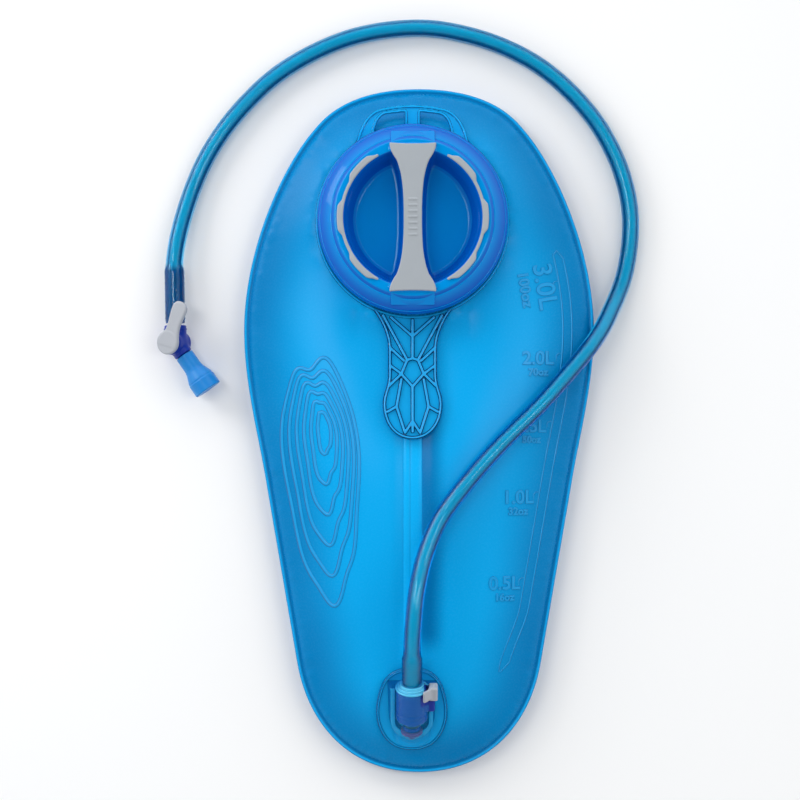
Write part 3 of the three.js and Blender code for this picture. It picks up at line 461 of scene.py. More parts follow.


# The tone attribute runs the film from painted shade towards its weld to painted light over its middle, on
# its bead and on the baffle's band.
FILM_MATERIAL = toned(
    textured(
        principled("film", (0.0, 0.33, 0.73), 0.26, Alpha=0.94, IOR=1.45, Specular_IOR_Level=0.12),
        scale=900, bump=0.1, roughness=(0.22, 0.32),
    ),
    dark=(0.0, 0.18, 0.46), light=(0.004, 0.45, 0.93),
)  # fmt: skip
BACK_MATERIAL = textured(
    principled("back_film", (0.001, 0.25, 0.62), 0.35, Alpha=0.94, IOR=1.45, Specular_IOR_Level=0.3),
    scale=900, bump=0.12, tint=(0.004, 0.3, 0.7), mottle=0.5, roughness=(0.28, 0.42),
)  # fmt: skip
HOSE_MATERIAL = absorbing(
    textured(
        principled("hose_tube", (1, 1, 1), 0.12, Transmission_Weight=1.0, IOR=1.33),
        scale=700, bump=0.05,
    ),
    (0.42, 0.93, 0.997), 1000,
)  # fmt: skip
# The tone attribute runs the lining from painted shade on the hose's sides to painted light along its top.
LINING_MATERIAL = toned(
    textured(
        principled("hose_lining", (0.2, 0.68, 0.93), 0.35, IOR=1.42, Specular_IOR_Level=0.0),
        scale=1500, bump=0.06, roughness=(0.3, 0.45),
    ),
    dark=(0.0, 0.07, 0.36), light=(0.03, 0.7, 1.0),
)  # fmt: skip
# Painted shade: the relief's upright walls take a darker colour than its tops.
RELIEF_MATERIAL = painted_slope_shade(
    textured(
        principled("film_relief", (0.002, 0.36, 0.78), 0.3, Alpha=0.8, IOR=1.45, Specular_IOR_Level=0.5),
        scale=900, bump=0.08, roughness=(0.26, 0.36),
    ),
    face=(0.002, 0.38, 0.82), wall=(0.001, 0.14, 0.4), steep=0.7, flat=0.97,
)  # fmt: skip


def clear_plastic(name, base, rough, alpha, specular, bump, spread, **edges):
    """A see-through moulding, with painted shade on its upright walls; spread is the range over which its
    roughness varies.
    """
    plain = principled(name, base, rough, Alpha=alpha, IOR=1.5, Specular_IOR_Level=specular)
    return painted_slope_shade(textured(plain, scale=1200, bump=bump, roughness=spread), **edges)


# Painted shade: each moulding's walls take a darker colour than its level faces, as refraction darkens the
# edges of clear plastic.
CLEAR_MATERIAL = clear_plastic(
    "clear_moulding", (0.03, 0.4, 0.86), 0.14, alpha=0.6, specular=0.18, bump=0.04, spread=(0.08, 0.18),
    face=(0.01, 0.5, 1.0), wall=(0.0, 0.09, 0.27), steep=0.72, flat=0.992,
)  # fmt: skip
RIB_MATERIAL = clear_plastic(
    "clear_ribs", (0.03, 0.4, 0.86), 0.12, alpha=0.93, specular=0.25, bump=0.04, spread=(0.08, 0.18),
    face=(0.02, 0.38, 0.8), wall=(0.0, 0.03, 0.13), steep=0.6, flat=0.96,
)  # fmt: skip
HOUSING_MATERIAL = clear_plastic(
    "clear_housing", (0.02, 0.32, 0.75), 0.1, alpha=0.1, specular=0.2, bump=0.04, spread=(0.06, 0.14),
    face=(0.02, 0.42, 0.85), wall=(0.0, 0.16, 0.5), steep=0.25, flat=0.9,
)  # fmt: skip
FOOT_MATERIAL = clear_plastic(
    "clear_foot", (0.02, 0.45, 0.86), 0.12, alpha=0.62, specular=0.3, bump=0.03, spread=(0.08, 0.16),
    face=(0.02, 0.5, 0.95), wall=(0.0, 0.08, 0.3), steep=0.45, flat=0.85,
)  # fmt: skip
# Painted shade: the cap's slopes and walls take a darker blue than its level faces.
CAP_MATERIAL = painted_slope_shade(
    textured(
        principled("cap_plastic", (0.001, 0.15, 0.5), 0.1, IOR=1.5, Specular_IOR_Level=0.17),
        scale=1600, bump=0.02, roughness=(0.05, 0.12),
    ),
    face=(0.0, 0.26, 0.68), wall=(0.0, 0.105, 0.5), steep=0.72, flat=0.99,
)  # fmt: skip
# Painted shade and light: the collar's level faces take a light cyan, and its walls a dark blue.
COLLAR_MATERIAL = painted_slope_shade(
    textured(
        principled("collar_plastic", (0.04, 0.5, 0.85), 0.12, Alpha=0.8, IOR=1.5),
        scale=1600, bump=0.03, roughness=(0.08, 0.16),
    ),
    face=(0.1, 0.62, 0.92), wall=(0.0, 0.12, 0.4), steep=0.1, flat=0.8,
)  # fmt: skip
GRIP_MATERIAL = textured(
    principled("grip_rubber", (0.36, 0.39, 0.42), 0.55, IOR=1.45, Specular_IOR_Level=0.4),
    scale=3500, bump=0.35, tint=(0.31, 0.34, 0.37), mottle=0.6, roughness=(0.48, 0.66),
)  # fmt: skip
INDIGO_MATERIAL = textured(
    principled("indigo_plastic", (0.002, 0.022, 0.27), 0.3, IOR=1.5, Specular_IOR_Level=0.25),
    scale=2200, bump=0.08, tint=(0.003, 0.035, 0.33), mottle=0.6, roughness=(0.24, 0.38),
)  # fmt: skip
PALE_MATERIAL = textured(
    principled("pale_plastic", (0.38, 0.4, 0.44), 0.42, IOR=1.5),
    scale=2600, bump=0.15, tint=(0.33, 0.35, 0.39), mottle=0.6, roughness=(0.36, 0.5),
)  # fmt: skip
SILICONE_MATERIAL = textured(
    principled("silicone", (0.003, 0.2, 0.58), 0.36, IOR=1.42,
               Subsurface_Weight=0.25, Subsurface_Scale=0.002),
    scale=3000, bump=0.12, tint=(0.004, 0.25, 0.64), mottle=0.6, roughness=(0.3, 0.44),
)  # fmt: skip
SEAL_MATERIAL = textured(
    principled("seal_rubber", (0.1, 0.02, 0.16), 0.45, IOR=1.45), scale=2400, bump=0.1,
    tint=(0.13, 0.03, 0.2), mottle=0.6, roughness=(0.38, 0.55),
)  # fmt: skip
STEEL_MATERIAL = textured(
    principled("spring_steel", (0.62, 0.63, 0.65), 0.25, Metallic=1.0), scale=5000, bump=0.06,
    tint=(0.52, 0.53, 0.56), mottle=0.5, roughness=(0.18, 0.34),
)  # fmt: skip
RUBBER_MATERIAL = textured(
    principled("rubber", (0.02, 0.022, 0.026), 0.6), scale=2500, bump=0.15, roughness=(0.5, 0.7)
)


# ---- camera, light and floor ----------------------------------------------------------------

# Everything in this section is in metres.
CAMERA_AT = (-0.0114, 0.0184, 1.0)
LENS = 73.95
SENSOR = 36
FLOOR_REACH = 4
FLOOR_GAP = 0.0004  # how far the floor lies below the part
WORLD_COLOR = (0.97, 0.985, 1, 1)
WORLD_RAMPS = (  # an axis, the stretch of it over which the light changes, and the two strengths
    ("Z", (0.55, 0.93), (1.34, 0.06)),
    ("Y", (-0.8, 0.8), (0.62, 1.38)),
)
LIGHT_BOXES = (  # name, place, the point it faces, size, power
    ("left_box", (-0.4, 0.2, 1.0), (0, 0.02, 0), (0.18, 0.45), 2.0),
    ("low_box", (-0.85, 0.6, 0.5), (0, 0.12, 0.04), (0.45, 0.45), 3.0),
    ("right_box", (0.42, 0.04, 1.0), (0, 0.02, 0), (0.16, 0.45), 1.4),
)


def area_light(name, at, towards, size, power):
    """A rectangular light facing a point."""
    lamp = bpy.data.lights.new(name, "AREA")
    lamp.shape = "RECTANGLE"
    lamp.size, lamp.size_y = size
    lamp.energy = power
    made = bpy.data.objects.new(name, lamp)
    made.location = at
    made.rotation_euler = (Vector(towards) - Vector(at)).to_track_quat("-Z", "Y").to_euler()
    bpy.context.scene.collection.objects.link(made)


def studio_world():
    """Pale surroundings, darker straight overhead so that level faces keep their full colour,
    and lighter beyond the top of the bag than beyond its foot."""
    world = bpy.data.worlds.new("studio")
    world.use_nodes = True
    direction = node(world, "ShaderNodeTexCoord").outputs["Generated"]
    split = node(world, "ShaderNodeSeparateXYZ", {"Vector": direction})
    product = node(world, "ShaderNodeMath", operation="MULTIPLY")
    for k, (axis, stretch, strengths) in enumerate(WORLD_RAMPS):
        ramp = node(world, "ShaderNodeMapRange", {"Value": split.outputs[axis]})
        ramp.interpolation_type = "SMOOTHSTEP"
        ramp.inputs["From Min"].default_value, ramp.inputs["From Max"].default_value = stretch
        ramp.inputs["To Min"].default_value, ramp.inputs["To Max"].default_value = strengths
        world.node_tree.links.new(ramp.outputs["Result"], product.inputs[k])
    background = world.node_tree.nodes["Background"]
    background.inputs["Color"].default_value = WORLD_COLOR
    world.node_tree.links.new(product.outputs[0], background.inputs["Strength"])
    return world


def set_the_stage():
    """The camera, the surroundings, the lights and the floor."""
    scene = bpy.context.scene
    camera = bpy.data.cameras.new("camera")
    camera.lens, camera.sensor_width = LENS, SENSOR
    scene.camera = bpy.data.objects.new("camera", camera)
    scene.camera.location = CAMERA_AT
    scene.collection.objects.link(scene.camera)
    scene.view_settings.view_transform = "Standard"

    scene.world = studio_world()
    for box in LIGHT_BOXES:
        area_light(*box)

    mesh = bpy.data.meshes.new("floor")
    corners = [(x * FLOOR_REACH, y * FLOOR_REACH, 0) for x, y in ((-1, -1), (1, -1), (1, 1), (-1, 1))]
    mesh.from_pydata(corners, [], [(0, 1, 2, 3)])
    floor = bpy.data.objects.new("floor", mesh)
    mesh.materials.append(principled("floor", (0.93, 0.93, 0.93), 0.9))
    floor.location.z = -FLOOR_GAP
    scene.collection.objects.link(floor)


# ---- hose -----------------------------------------------------------------------------------

QUICK_END = (3.8, 20.7)  # the stretch of hose on the plug's barb, along the plug
BITE_END = (44.2, 11.8)  # the stretch on the valve's barb, along the valve's inlet
END_R = 6.0
END_BORE = 4.45
HOSE_SIDES = 32


def tube(path, outer, bore):
    """A tube along a path, closed at both ends, as points and faces."""
    points = np.concatenate([swept(path, outer, HOSE_SIDES), swept(path, bore, HOSE_SIDES)[::-1]])
    faces = strip_faces(2 * len(path), HOSE_SIDES)
    seam = (len(path) - 1) * HOSE_SIDES
    del faces[seam : seam + HOSE_SIDES]
    far, inner, near = seam, seam + HOSE_SIDES, len(points) - HOSE_SIDES
    for i in range(HOSE_SIDES):
        j = (i + 1) % HOSE_SIDES
        facing_i, facing_j = HOSE_SIDES - 1 - i, HOSE_SIDES - 1 - j
        faces.append((far + i, far + j, inner + facing_j, inner + facing_i))
        faces.append((j, i, near + facing_i, near + facing_j))
    return points, faces


def hose():
    """The hose with its two ends stretched over their barbs, and the paler lining of its bore."""
    plug_end = [PLUG_FRAME @ Vector((0, y, 0)) for y in np.linspace(*QUICK_END, 12)]
    valve_end = [VALVE_FRAME @ Vector((0, y, 0)) for y in np.linspace(*BITE_END, 12)]
    knots = [*plug_end, *HOSE_ROUTE[1:-1], *valve_end]
    path = resampled(catmull_rom([tuple(k) for k in knots], 12), 1.5)
    along = distances_along(path)
    length = along[-1]
    from_end = np.minimum(along, length - along)
    stretch = np.where(along < length / 2, QUICK_END[1] - QUICK_END[0], BITE_END[0] - BITE_END[1])
    on_barb = 1 - smoothstep(from_end, stretch - 1.0, stretch + 3.5)
    ribs = on_barb * 0.16 * np.cos(2 * math.pi * from_end / 3.4)
    lip = 0.5 * (1 - smoothstep(from_end, 0, 0.8))
    bore = lerp(HOSE_BORE, END_BORE, on_barb)
    wall, wall_faces = tube(path, lerp(HOSE_R, END_R, on_barb) + ribs - lip, bore)
    lining, lining_faces = tube(path, bore - 0.03, bore - lerp(0.5, 0.11, on_barb))
    points, faces = gathered([(wall, wall_faces), (lining, lining_faces)])
    pale = 1 - 0.85 * on_barb * (along > length / 2) - 0.15 * on_barb * (along < length / 2)
    by_ring = np.repeat(np.concatenate([pale, pale[::-1]]), HOSE_SIDES)
    around = wall - np.repeat(np.concatenate([path, path[::-1]]), HOSE_SIDES, axis=0)
    # Painted shade: the lining is darker on the hose's sides and lighter along its top, as light falls from
    # above.
    level = np.abs(around[:, 2]) / np.linalg.norm(around, axis=1)
    tone = np.tile(by_ring * (0.15 + 0.85 * smoothstep(level, 0.35, 0.95)), 2)
    piece = make_piece("hose_tube", points, faces, "quick_link", HOSE_MATERIAL, slot="hose_blue",
                       replaces=("hose", "hose_end_quick_link", "hose_end_bite"), tone=tone)
    piece.data.materials.append(LINING_MATERIAL)
    which = [0] * len(wall_faces) + [1] * len(lining_faces)
    piece.data.polygons.foreach_set("material_index", which)
    return piece, path


# ---- bag ------------------------------------------------------------------------------------

def bezier(span, steps):
    """Points in the plane along a Bezier span, given by its end, two handles and other end."""
    return [tuple(p[:2]) for p in interpolate_bezier(*[Vector((*p, 0)) for p in span], steps)]


def both_sides(spans, steps, spacing):
    """A closed loop in even steps from the Bezier spans of its +X side, listed from its top down."""
    right = np.array([p for span in spans for p in bezier(span, steps)[:-1]] + [spans[-1][-1]])
    return resampled(np.concatenate([right * (-1, 1), right[-2:0:-1]]), spacing, is_closed=True)


def outline():
    """The bag's outline, anticlockwise from its top, in even steps."""
    spans = [
        ((0, HALF_LENGTH), (42, HALF_LENGTH), (57, 188), (63, 180.5)),
        ((63, 180.5), (82, 159), (HALF_WIDTH, 108), (HALF_WIDTH, 60)),
        ((HALF_WIDTH, 60), (HALF_WIDTH, 29), (96.6, -2.5), (92.5, -26.5)),
        ((92.5, -26.5), (86, -64.3), (79.5, -102.2), (73, -140)),
        ((73, -140), (67, -174), (44, -HALF_LENGTH), (0, -HALF_LENGTH)),
    ]
    return both_sides(spans, 80, 1.7)


OUTLINE = outline()


def inset(loop, distance):
    """A closed anticlockwise loop, moved inwards."""
    ahead, behind = np.roll(loop, -1, axis=0), np.roll(loop, 1, axis=0)
    along = ahead - behind
    along /= np.linalg.norm(along, axis=1)[:, None]
    return loop + distance * np.column_stack([-along[:, 1], along[:, 0]])


def depth_inside(x, y):
    """How far inside the outline points are; negative outside it."""
    return -polygon(x, y, OUTLINE[::3])


def outlet_loop(grow, count=72):
    """The outlet flange's oval, as seen along its own axis, grown all round."""
    w, h = 22 + grow, 26 + grow
    spans = [
        ((0, h), (w / 2, h), (w - 5, h - 6), (w - 3, 12)),
        ((w - 3, 12), (w, 2), (w + 0.5, -8), (w - 5, -17)),
        ((w - 5, -17), (w - 9, -h + 2.5), (7, -h), (0, -h)),
    ]
    return both_sides(spans, 30, 2 * math.pi * 24 / count)


OVERSHOOT = 1.92  # of each correction to the film's height, so that it settles in fewer sweeps


def membrane(rim, load, held, low, high, step=2.0, sweeps=420):
    """The height of a film under an even load, as a function of x and y."""
    xs = np.arange(-HALF_WIDTH - step, HALF_WIDTH + 2 * step, step)
    ys = np.arange(-HALF_LENGTH - step, HALF_LENGTH + 2 * step, step)
    x, y = np.meshgrid(xs, ys, indexing="ij")
    free = depth_inside(x, y) > WELD
    fixed = held(x, y)
    height = np.where(np.isnan(fixed), rim, fixed)
    height[~free] = rim
    free &= np.isnan(fixed)
    lowest, highest = low(x, y), high(x, y)
    chequer = (np.indices(x.shape).sum(0) % 2).astype(bool)
    for _ in range(sweeps):
        for colour in (chequer, ~chequer):
            around = sum(np.roll(height, shift, axis) for axis in (0, 1) for shift in (1, -1))
            target = height + OVERSHOOT * ((around + load * step * step) / 4 - height)
            height = np.where(free & colour, np.clip(target, lowest, highest), height)
    return lambda px, py: sampled(height, (px - xs[0]) / step, (py - ys[0]) / step)


def outlet_plane(y):
    """The height of the outlet's tilted plane."""
    return OUTLET.z + math.tan(OUTLET_TILT) * (y - OUTLET.y)


def beside_outlet(x, y):
    """How far out a point is from the outlet, 1 being the edge of its flange."""
    return np.hypot((x - OUTLET.x) / 24.5, (y - OUTLET.y) / 27.5)


def from_port(x, y):
    """A point's distance from the port's axis."""
    return np.hypot(x - PORT[0], y - PORT[1])


def everywhere(height):
    """One height, as a function of x and y."""
    return lambda x, y: np.full(x.shape, height)


def held_in_front(x, y):
    """The front film's height where a moulding is welded to it, and no number elsewhere."""
    fixed = np.full(x.shape, np.nan)
    fixed[from_port(x, y) < FLANGE_R + 1.5] = PORT_Z - 0.3
    at_outlet = beside_outlet(x, y) < 1
    fixed[at_outlet] = (outlet_plane(y) - 0.3)[at_outlet]
    return fixed


def front_ceiling(x, y):
    """The film stays under the handle, and the baffle holds it down along the middle."""
    down = PORT[1] - y
    half = np.where(down < 70, 34, 22)  # half the handle's width with room beside it
    under = (down > 50) & (down < HANDLE_TIP + 6) & (np.abs(x - PORT[0]) < half)
    handle = PORT_Z + HANDLE_SLOPE * np.maximum(0, down - FLANGE_R) - 1.2
    along = (y > BAFFLE_Y[0]) & (y < BAFFLE_Y[1]) & (np.abs(x - PORT[0]) < BAFFLE_HALF_WIDTH + 1)
    return np.minimum(np.where(under, handle, np.inf), np.where(along, BAFFLE_TOP, np.inf))


def valley(x, y):
    """How far the baffle's weld pulls the front film in."""
    across = np.abs(x - PORT[0])
    along = smoothstep(y, BAFFLE_Y[0] - 14, BAFFLE_Y[0] + 16)
    along = along * (1 - smoothstep(y, BAFFLE_Y[1] - 6, BAFFLE_Y[1] + 12))
    pulled = 0.9 * (1 - smoothstep(across, BAFFLE_HALF_WIDTH - 0.5, BAFFLE_HALF_WIDTH + 7))
    weld = 0.3 * np.exp(-(((across - BAFFLE_HALF_WIDTH) / 0.5) ** 2))
    seam = 0.15 * np.exp(-(((x - PORT[0] + 1.4) / 0.4) ** 2))
    return along * (pulled + weld + seam)


def rim_profile(depth):
    """The weld's bead and groove, above the weld's own level."""
    bead = 0.45 * np.exp(-(((depth - 0.9) / 0.45) ** 2))
    groove = -0.22 * np.exp(-(((depth - 2.4) / 0.45) ** 2))
    edge = -0.35 * np.exp(-((depth / 0.3) ** 2))
    return bead + groove + edge


# The mesh of the films is finer over the weld and over the dent that the baffle pulls.
RIM_STEPS = [0, 0.2, 0.45, 0.7, 1.0, 1.35, 1.8, 2.2, 2.6, 3.0, 3.4, 3.9, 4.6, 5.6, 6.9]
DENT_STEPS = [-8, -7, -6.2, -5.7, -5.3, -4.9, -4.2, -3, -2.2, -1.8, -1.4, -1, -0.6, 0.8, 2.6]
DENT_STEPS += [4.2, 4.9, 5.3, 5.7, 6.2, 7, 8]
FRONT_SPACING, BACK_SPACING = 2.3, 3.2


def hexagonal(spacing):
    """Evenly spread points over the outline's box."""
    rows = np.arange(-HALF_LENGTH, HALF_LENGTH, spacing * math.sqrt(3) / 2)
    columns = np.arange(-HALF_WIDTH, HALF_WIDTH, spacing)
    x, y = np.meshgrid(columns, rows)
    x = x + np.where(np.arange(len(rows)) % 2, spacing / 2, 0)[:, None]
    return np.column_stack([x.ravel(), y.ravel()])


def triangulated(loops, scattered, holes):
    """Triangles over the outline. The first loop is its edge; holes are left open."""
    points = np.concatenate([*loops, scattered])
    edges, start = [], 0
    for loop in loops:
        count = len(loop)
        edges += [(start + i, start + (i + 1) % count) for i in range(count)]
        start += count
    found = delaunay_2d_cdt([Vector(p) for p in points], edges, [], 0, 1e-5)
    flat = np.array([tuple(p) for p in found[0]])
    triangles = np.array([tuple(f) for f in found[2]])
    centre = flat[triangles].mean(1)
    kept = polygon(centre[:, 0], centre[:, 1], loops[0]) < 0
    for hole in holes:
        kept &= polygon(centre[:, 0], centre[:, 1], hole) > 0
    triangles = triangles[kept]
    used, triangles = np.unique(triangles, return_inverse=True)
    return flat[used], triangles.reshape(-1, 3)


def shell(points, triangles, thickness):
    """A surface given a thickness downwards, closed along its open edges."""
    below = points - (0, 0, thickness)
    count = len(points)
    edges = np.concatenate([triangles[:, [0, 1]], triangles[:, [1, 2]], triangles[:, [2, 0]]])
    directed = {tuple(e) for e in edges.tolist()}
    sides = [(b, a, a + count, b + count) for a, b in directed if (b, a) not in directed]
    faces = triangles.tolist() + (triangles[:, ::-1] + count).tolist() + sides
    return np.concatenate([points, below]), faces


def settle_on_mesh(flat, triangles, height, fixed, load, ceiling, rounds=70):
    """Smooths out the grid's steps, so that the film is even up to its true edges."""
    pairs = np.concatenate([triangles[:, [0, 1]], triangles[:, [1, 2]], triangles[:, [2, 0]]])
    a, b = np.concatenate([pairs, pairs[:, ::-1]]).T
    count = len(flat)
    degree = np.bincount(a, minlength=count)
    spread = np.bincount(a, ((flat[a] - flat[b]) ** 2).sum(1), count) / degree
    for _ in range(rounds):
        mean = np.bincount(a, height[b], count) / degree
        height = np.where(fixed, height, np.minimum(mean + load * spread / 4, ceiling))
    return height


def front_mesh():
    """Plan points and triangles of the front film, with its openings for the port and the outlet."""
    at_outlet = (OUTLET.x, OUTLET.y)
    port_hole = PORT + (COLLAR_BORE + 1) * circle(120)
    loops = [inset(OUTLINE, d) for d in RIM_STEPS]
    loops += [port_hole, PORT + (FLANGE_R - 1) * circle(150), PORT + (FLANGE_R + 1.5) * circle(150)]
    loops += [outlet_loop(g, c) + at_outlet for g, c in ((-6, 60), (0, 80), (1.6, 90))]
    rows = np.arange(BAFFLE_Y[0] - 14, BAFFLE_Y[1] + 10, 2.5)
    lattice = np.stack(np.meshgrid(PORT[0] + np.array(DENT_STEPS), rows), -1).reshape(-1, 2)
    points = hexagonal(FRONT_SPACING)
    x, y = points.T
    clear = (depth_inside(x, y) > RIM_STEPS[-1] + 1.2) & (from_port(x, y) > FLANGE_R + 3)
    clear &= polygon(x, y, outlet_loop(3) + at_outlet) > 0
    clear &= ~((np.abs(x - PORT[0]) < 9) & (y > rows[0] - 1.5) & (y < rows[-1] + 1.5))
    holes = [port_hole, outlet_loop(-6) + at_outlet]
    return triangulated(loops, np.concatenate([points[clear], lattice]), holes)


def front_film():
    """The front film, and its upper surface for what lies on it."""
    flat, triangles = front_mesh()
    x, y = flat.T
    depth = depth_inside(x, y)
    weld_top = RIM_Z + 0.15 + FILM
    film = membrane(weld_top, FRONT_LOAD, held_in_front, everywhere(RIM_Z), front_ceiling)
    fixed_height = held_in_front(x, y)
    fixed = ~np.isnan(fixed_height) | (depth < WELD + 0.1)
    height = np.where(np.isnan(fixed_height), film(x, y), fixed_height)
    height = np.where(depth < WELD + 0.1, weld_top, height)
    height = settle_on_mesh(flat, triangles, height, fixed, FRONT_LOAD, front_ceiling(x, y))
    height += np.where(depth < WELD + 0.5, rim_profile(depth), 0) - valley(x, y) + pucker(x, y, depth)
    points, faces = shell(np.column_stack([flat, height]), triangles, FILM)
    tone = np.tile(film_tone_and_painted_light(x, y, depth), 2)
    make_piece("bag_front", points, faces, "reservoir", FILM_MATERIAL, replaces=("front_film",),
               slot="film", tone=tone)
    return BVHTree.FromPolygons([Vector(p) for p in points], triangles.tolist())


def film_tone_and_painted_light(x, y, depth):
    """Painted shade and light on the film: darker towards the weld, where the film slopes away from the
    light, with a painted highlight on the weld's bead and painted shade just inside it.
    The baffle's band is painted lightest, as the lit side of a ridge, with a strip of painted shade beside
    it and a dark weld seam along it; a slow drift varies the tone.
    """
    drift = 0.05 * np.sin(x / 17 + 1.3 * np.sin(y / 31)) * np.sin(y / 23 + 0.6)
    # painted shade: darker towards the weld, where the film slopes away from the light
    tone = 0.12 + 0.66 * smoothstep(depth, 8, 44) + drift
    # painted highlight on the weld's bead, painted shade just inside it
    tone += 0.85 * np.exp(-(((depth - 1.1) / 0.6) ** 2)) - 0.3 * np.exp(-(((depth - 2.8) / 0.9) ** 2))
    across = x - PORT[0]
    along = smoothstep(y, BAFFLE_Y[0] - 12, BAFFLE_Y[0] + 4)
    along = along * (1 - smoothstep(y, BAFFLE_Y[1] - 14, BAFFLE_Y[1]))
    # painted light: the baffle's band is lighter, as the lit side of its ridge
    band = 1 - smoothstep(np.abs(across), BAFFLE_HALF_WIDTH - 0.4, BAFFLE_HALF_WIDTH + 0.4)
    # painted shade: a strip beside the band is darker, as the side of its ridge turned from the light
    painted_shade_strip = smoothstep(across, BAFFLE_HALF_WIDTH - 0.2, BAFFLE_HALF_WIDTH + 0.5)
    painted_shade_strip = painted_shade_strip * (1 - smoothstep(across, 9, 22))
    seam = np.exp(-(((across + 1.4) / 0.45) ** 2))
    return np.clip(tone + along * (0.22 * band - 0.8 * painted_shade_strip - 0.35 * seam), 0, 1)


def pucker(x, y, depth):
    """Faint gathers that run in from the weld, as on any filled film bag."""
    bearing = np.arctan2(y + 20, x)
    waves = np.sin(23 * bearing + 1.3 * np.sin(5 * bearing)) * np.sin(3 * bearing + 0.7)
    fade = smoothstep(depth, WELD, 9) * (1 - smoothstep(depth, 12, 34))
    clear = smoothstep(from_port(x, y), FLANGE_R + 2, FLANGE_R + 16)
    clear = clear * smoothstep(beside_outlet(x, y), 1.0, 1.6)
    return 0.16 * waves * fade * clear


def back_film():
    """The back film, which rests on the ground, and its upper surface."""
    loops = [inset(OUTLINE, d) for d in RIM_STEPS[::2]]
    points = hexagonal(BACK_SPACING)
    clear = depth_inside(*points.T) > RIM_STEPS[-1] + 1.5
    flat, triangles = triangulated(loops, points[clear], [])
    x, y = flat.T
    depth = depth_inside(x, y)
    weld_top = RIM_Z - 0.15
    film = membrane(weld_top, -BACK_LOAD, everywhere(np.nan), everywhere(FILM + 0.1), everywhere(RIM_Z))
    height = np.where(depth < WELD, weld_top, np.maximum(film(x, y), FILM + 0.1))
    height -= np.where(depth < WELD + 0.5, rim_profile(depth), 0)
    height = np.where(depth < WELD + 0.5, height - 0.3 * np.exp(-((depth / 0.3) ** 2)), height)
    points, faces = shell(np.column_stack([flat, height]), triangles, FILM)
    make_piece("bag_back", points, faces, "reservoir", BACK_MATERIAL, replaces=("back_film",),
               slot="film")
    return BVHTree.FromPolygons([Vector(p) for p in points], triangles.tolist())


# ---- flat outlines --------------------------------------------------------------------------

def curved(start, *spans, steps=14):
    """Points along joined Bezier spans; a span is two handles and an end, or an end alone."""
    points = [start]
    for span in spans:
        if len(span) == 1:
            points.append(span[0])
        else:
            points += bezier((points[-1], *span), steps)[1:]
    return points


def mirrored(points):
    """A closed outline from its +X half, listed from one end on the axis to the other."""
    right = np.array(points)
    inner = right[np.abs(right[:, 0]) > 1e-6]
    return np.concatenate([right, (inner * (-1, 1))[::-1]])


def mapped(corners, margin=6.0, step=0.25):
    """The signed distance to an outline as a quick function of x and y, kept on a grid."""
    corners = np.asarray(corners, float)
    low = corners.min(0) - margin
    counts = np.ceil((corners.max(0) + margin - low) / step).astype(int) + 2
    x, y = np.meshgrid(*[low[k] + step * np.arange(counts[k]) for k in (0, 1)], indexing="ij")
    kept = polygon(x, y, corners)

    def distance(px, py):
        u = np.clip((px - low[0]) / step, 0, counts[0] - 1.001)
        v = np.clip((py - low[1]) / step, 0, counts[1] - 1.001)
        return sampled(kept, u, v)

    return distance


def plan(p):
    """The x and y of points, worked out once for a whole column of a grid."""
    flat = p[..., :1, :] if p.ndim == 4 else p
    return flat[..., 0], flat[..., 1]


def slab(outline_distance, z, low, high, rounding=0.0):
    """An outline given a height, with its edges rounded."""
    across = outline_distance + rounding
    along = np.abs(z - (low + high) / 2) - (high - low) / 2 + rounding
    return bounded(across, along) - rounding


def moulded(name, shape, low, high, step, body, material, frame_matrix=None, **options):
    """A piece from an implicit shape, worked out in its own frame."""
    points, faces = skin(shape, low, high, step)
    if frame_matrix is not None:
        points = moved(points, frame_matrix)
    return make_piece(name, points, faces, body, material, crease=60, **options)


# ---- fill port ------------------------------------------------------------------------------

AT_PORT = Matrix.Translation((PORT[0], PORT[1], 0))

HANDLE_SIDE = curved(
    (44, -30), ((27, -46), (15, -60), (14.5, -75)), ((14.5, -90),),
    ((14.6, -99), (17.7, -101), (17.7, -108)), ((17.7, -120), (10.5, -HANDLE_TIP), (0, -HANDLE_TIP)),
)  # fmt: skip
LOOP_SIDE = curved((34, 40), ((33, 55), (27, 65.6), (17, 67)), ((10, 68.4), (5, 68.8), (0, 68.8)))
WINDOW = curved((4.6, 50), ((4.6, 64.6),), ((15.5, 63.4),), ((20, 62.2), (22, 58), (23, 50)))

# The ribs of the handle's truss, on its middle and on its +X side, from the port's axis.
RIBS = [
    ((0, -58.4), (0, -81)), ((0, -98), (0, -124)), ((0, -68), (12.6, -56.8)),
    ((17.3, -55.6), (3.2, -82)), ((3.2, -82), (6.6, -90.2)), ((6.6, -90.2), (0, -97.7)),
    ((0, -81), (3.2, -82)), ((13.4, -74.6), (5.1, -82.4)), ((13, -85.4), (6.6, -90.2)),
    ((6.6, -90.2), (13.6, -97.1)), ((6.6, -93.5), (9.4, -109.4)), ((9.4, -109.4), (14.6, -112.4)),
    ((9.4, -109.4), (4.7, -124)), ((0, -117.9), (4.4, -124.7)),
]  # fmt: skip
RIB_HALF_WIDTH = 0.75
RIB_TOP = 3.2  # above the port's underside
PLATE = 1.8
FLANGE = 2.0

handle_distance = mapped(mirrored([(0, -30), *HANDLE_SIDE]))
loop_distance = mapped(mirrored([(0, 40), *LOOP_SIDE]))
window_distance = mapped(WINDOW)


def on_handle(p):
    """Plan position and height above the port's plane, along the sloping handle."""
    x, y = plan(p)
    return x, y, p[..., 2] - HANDLE_SLOPE * np.maximum(0, -y - FLANGE_R) - PORT_Z


def handle_shape(p):
    """The handle's thin plate, from the port's axis."""
    x, y, z = on_handle(p)
    handle = np.maximum(handle_distance(x, y), FLANGE_R - 0.7 - np.hypot(x, y))
    return slab(handle, z, 0, PLATE, 0.35)


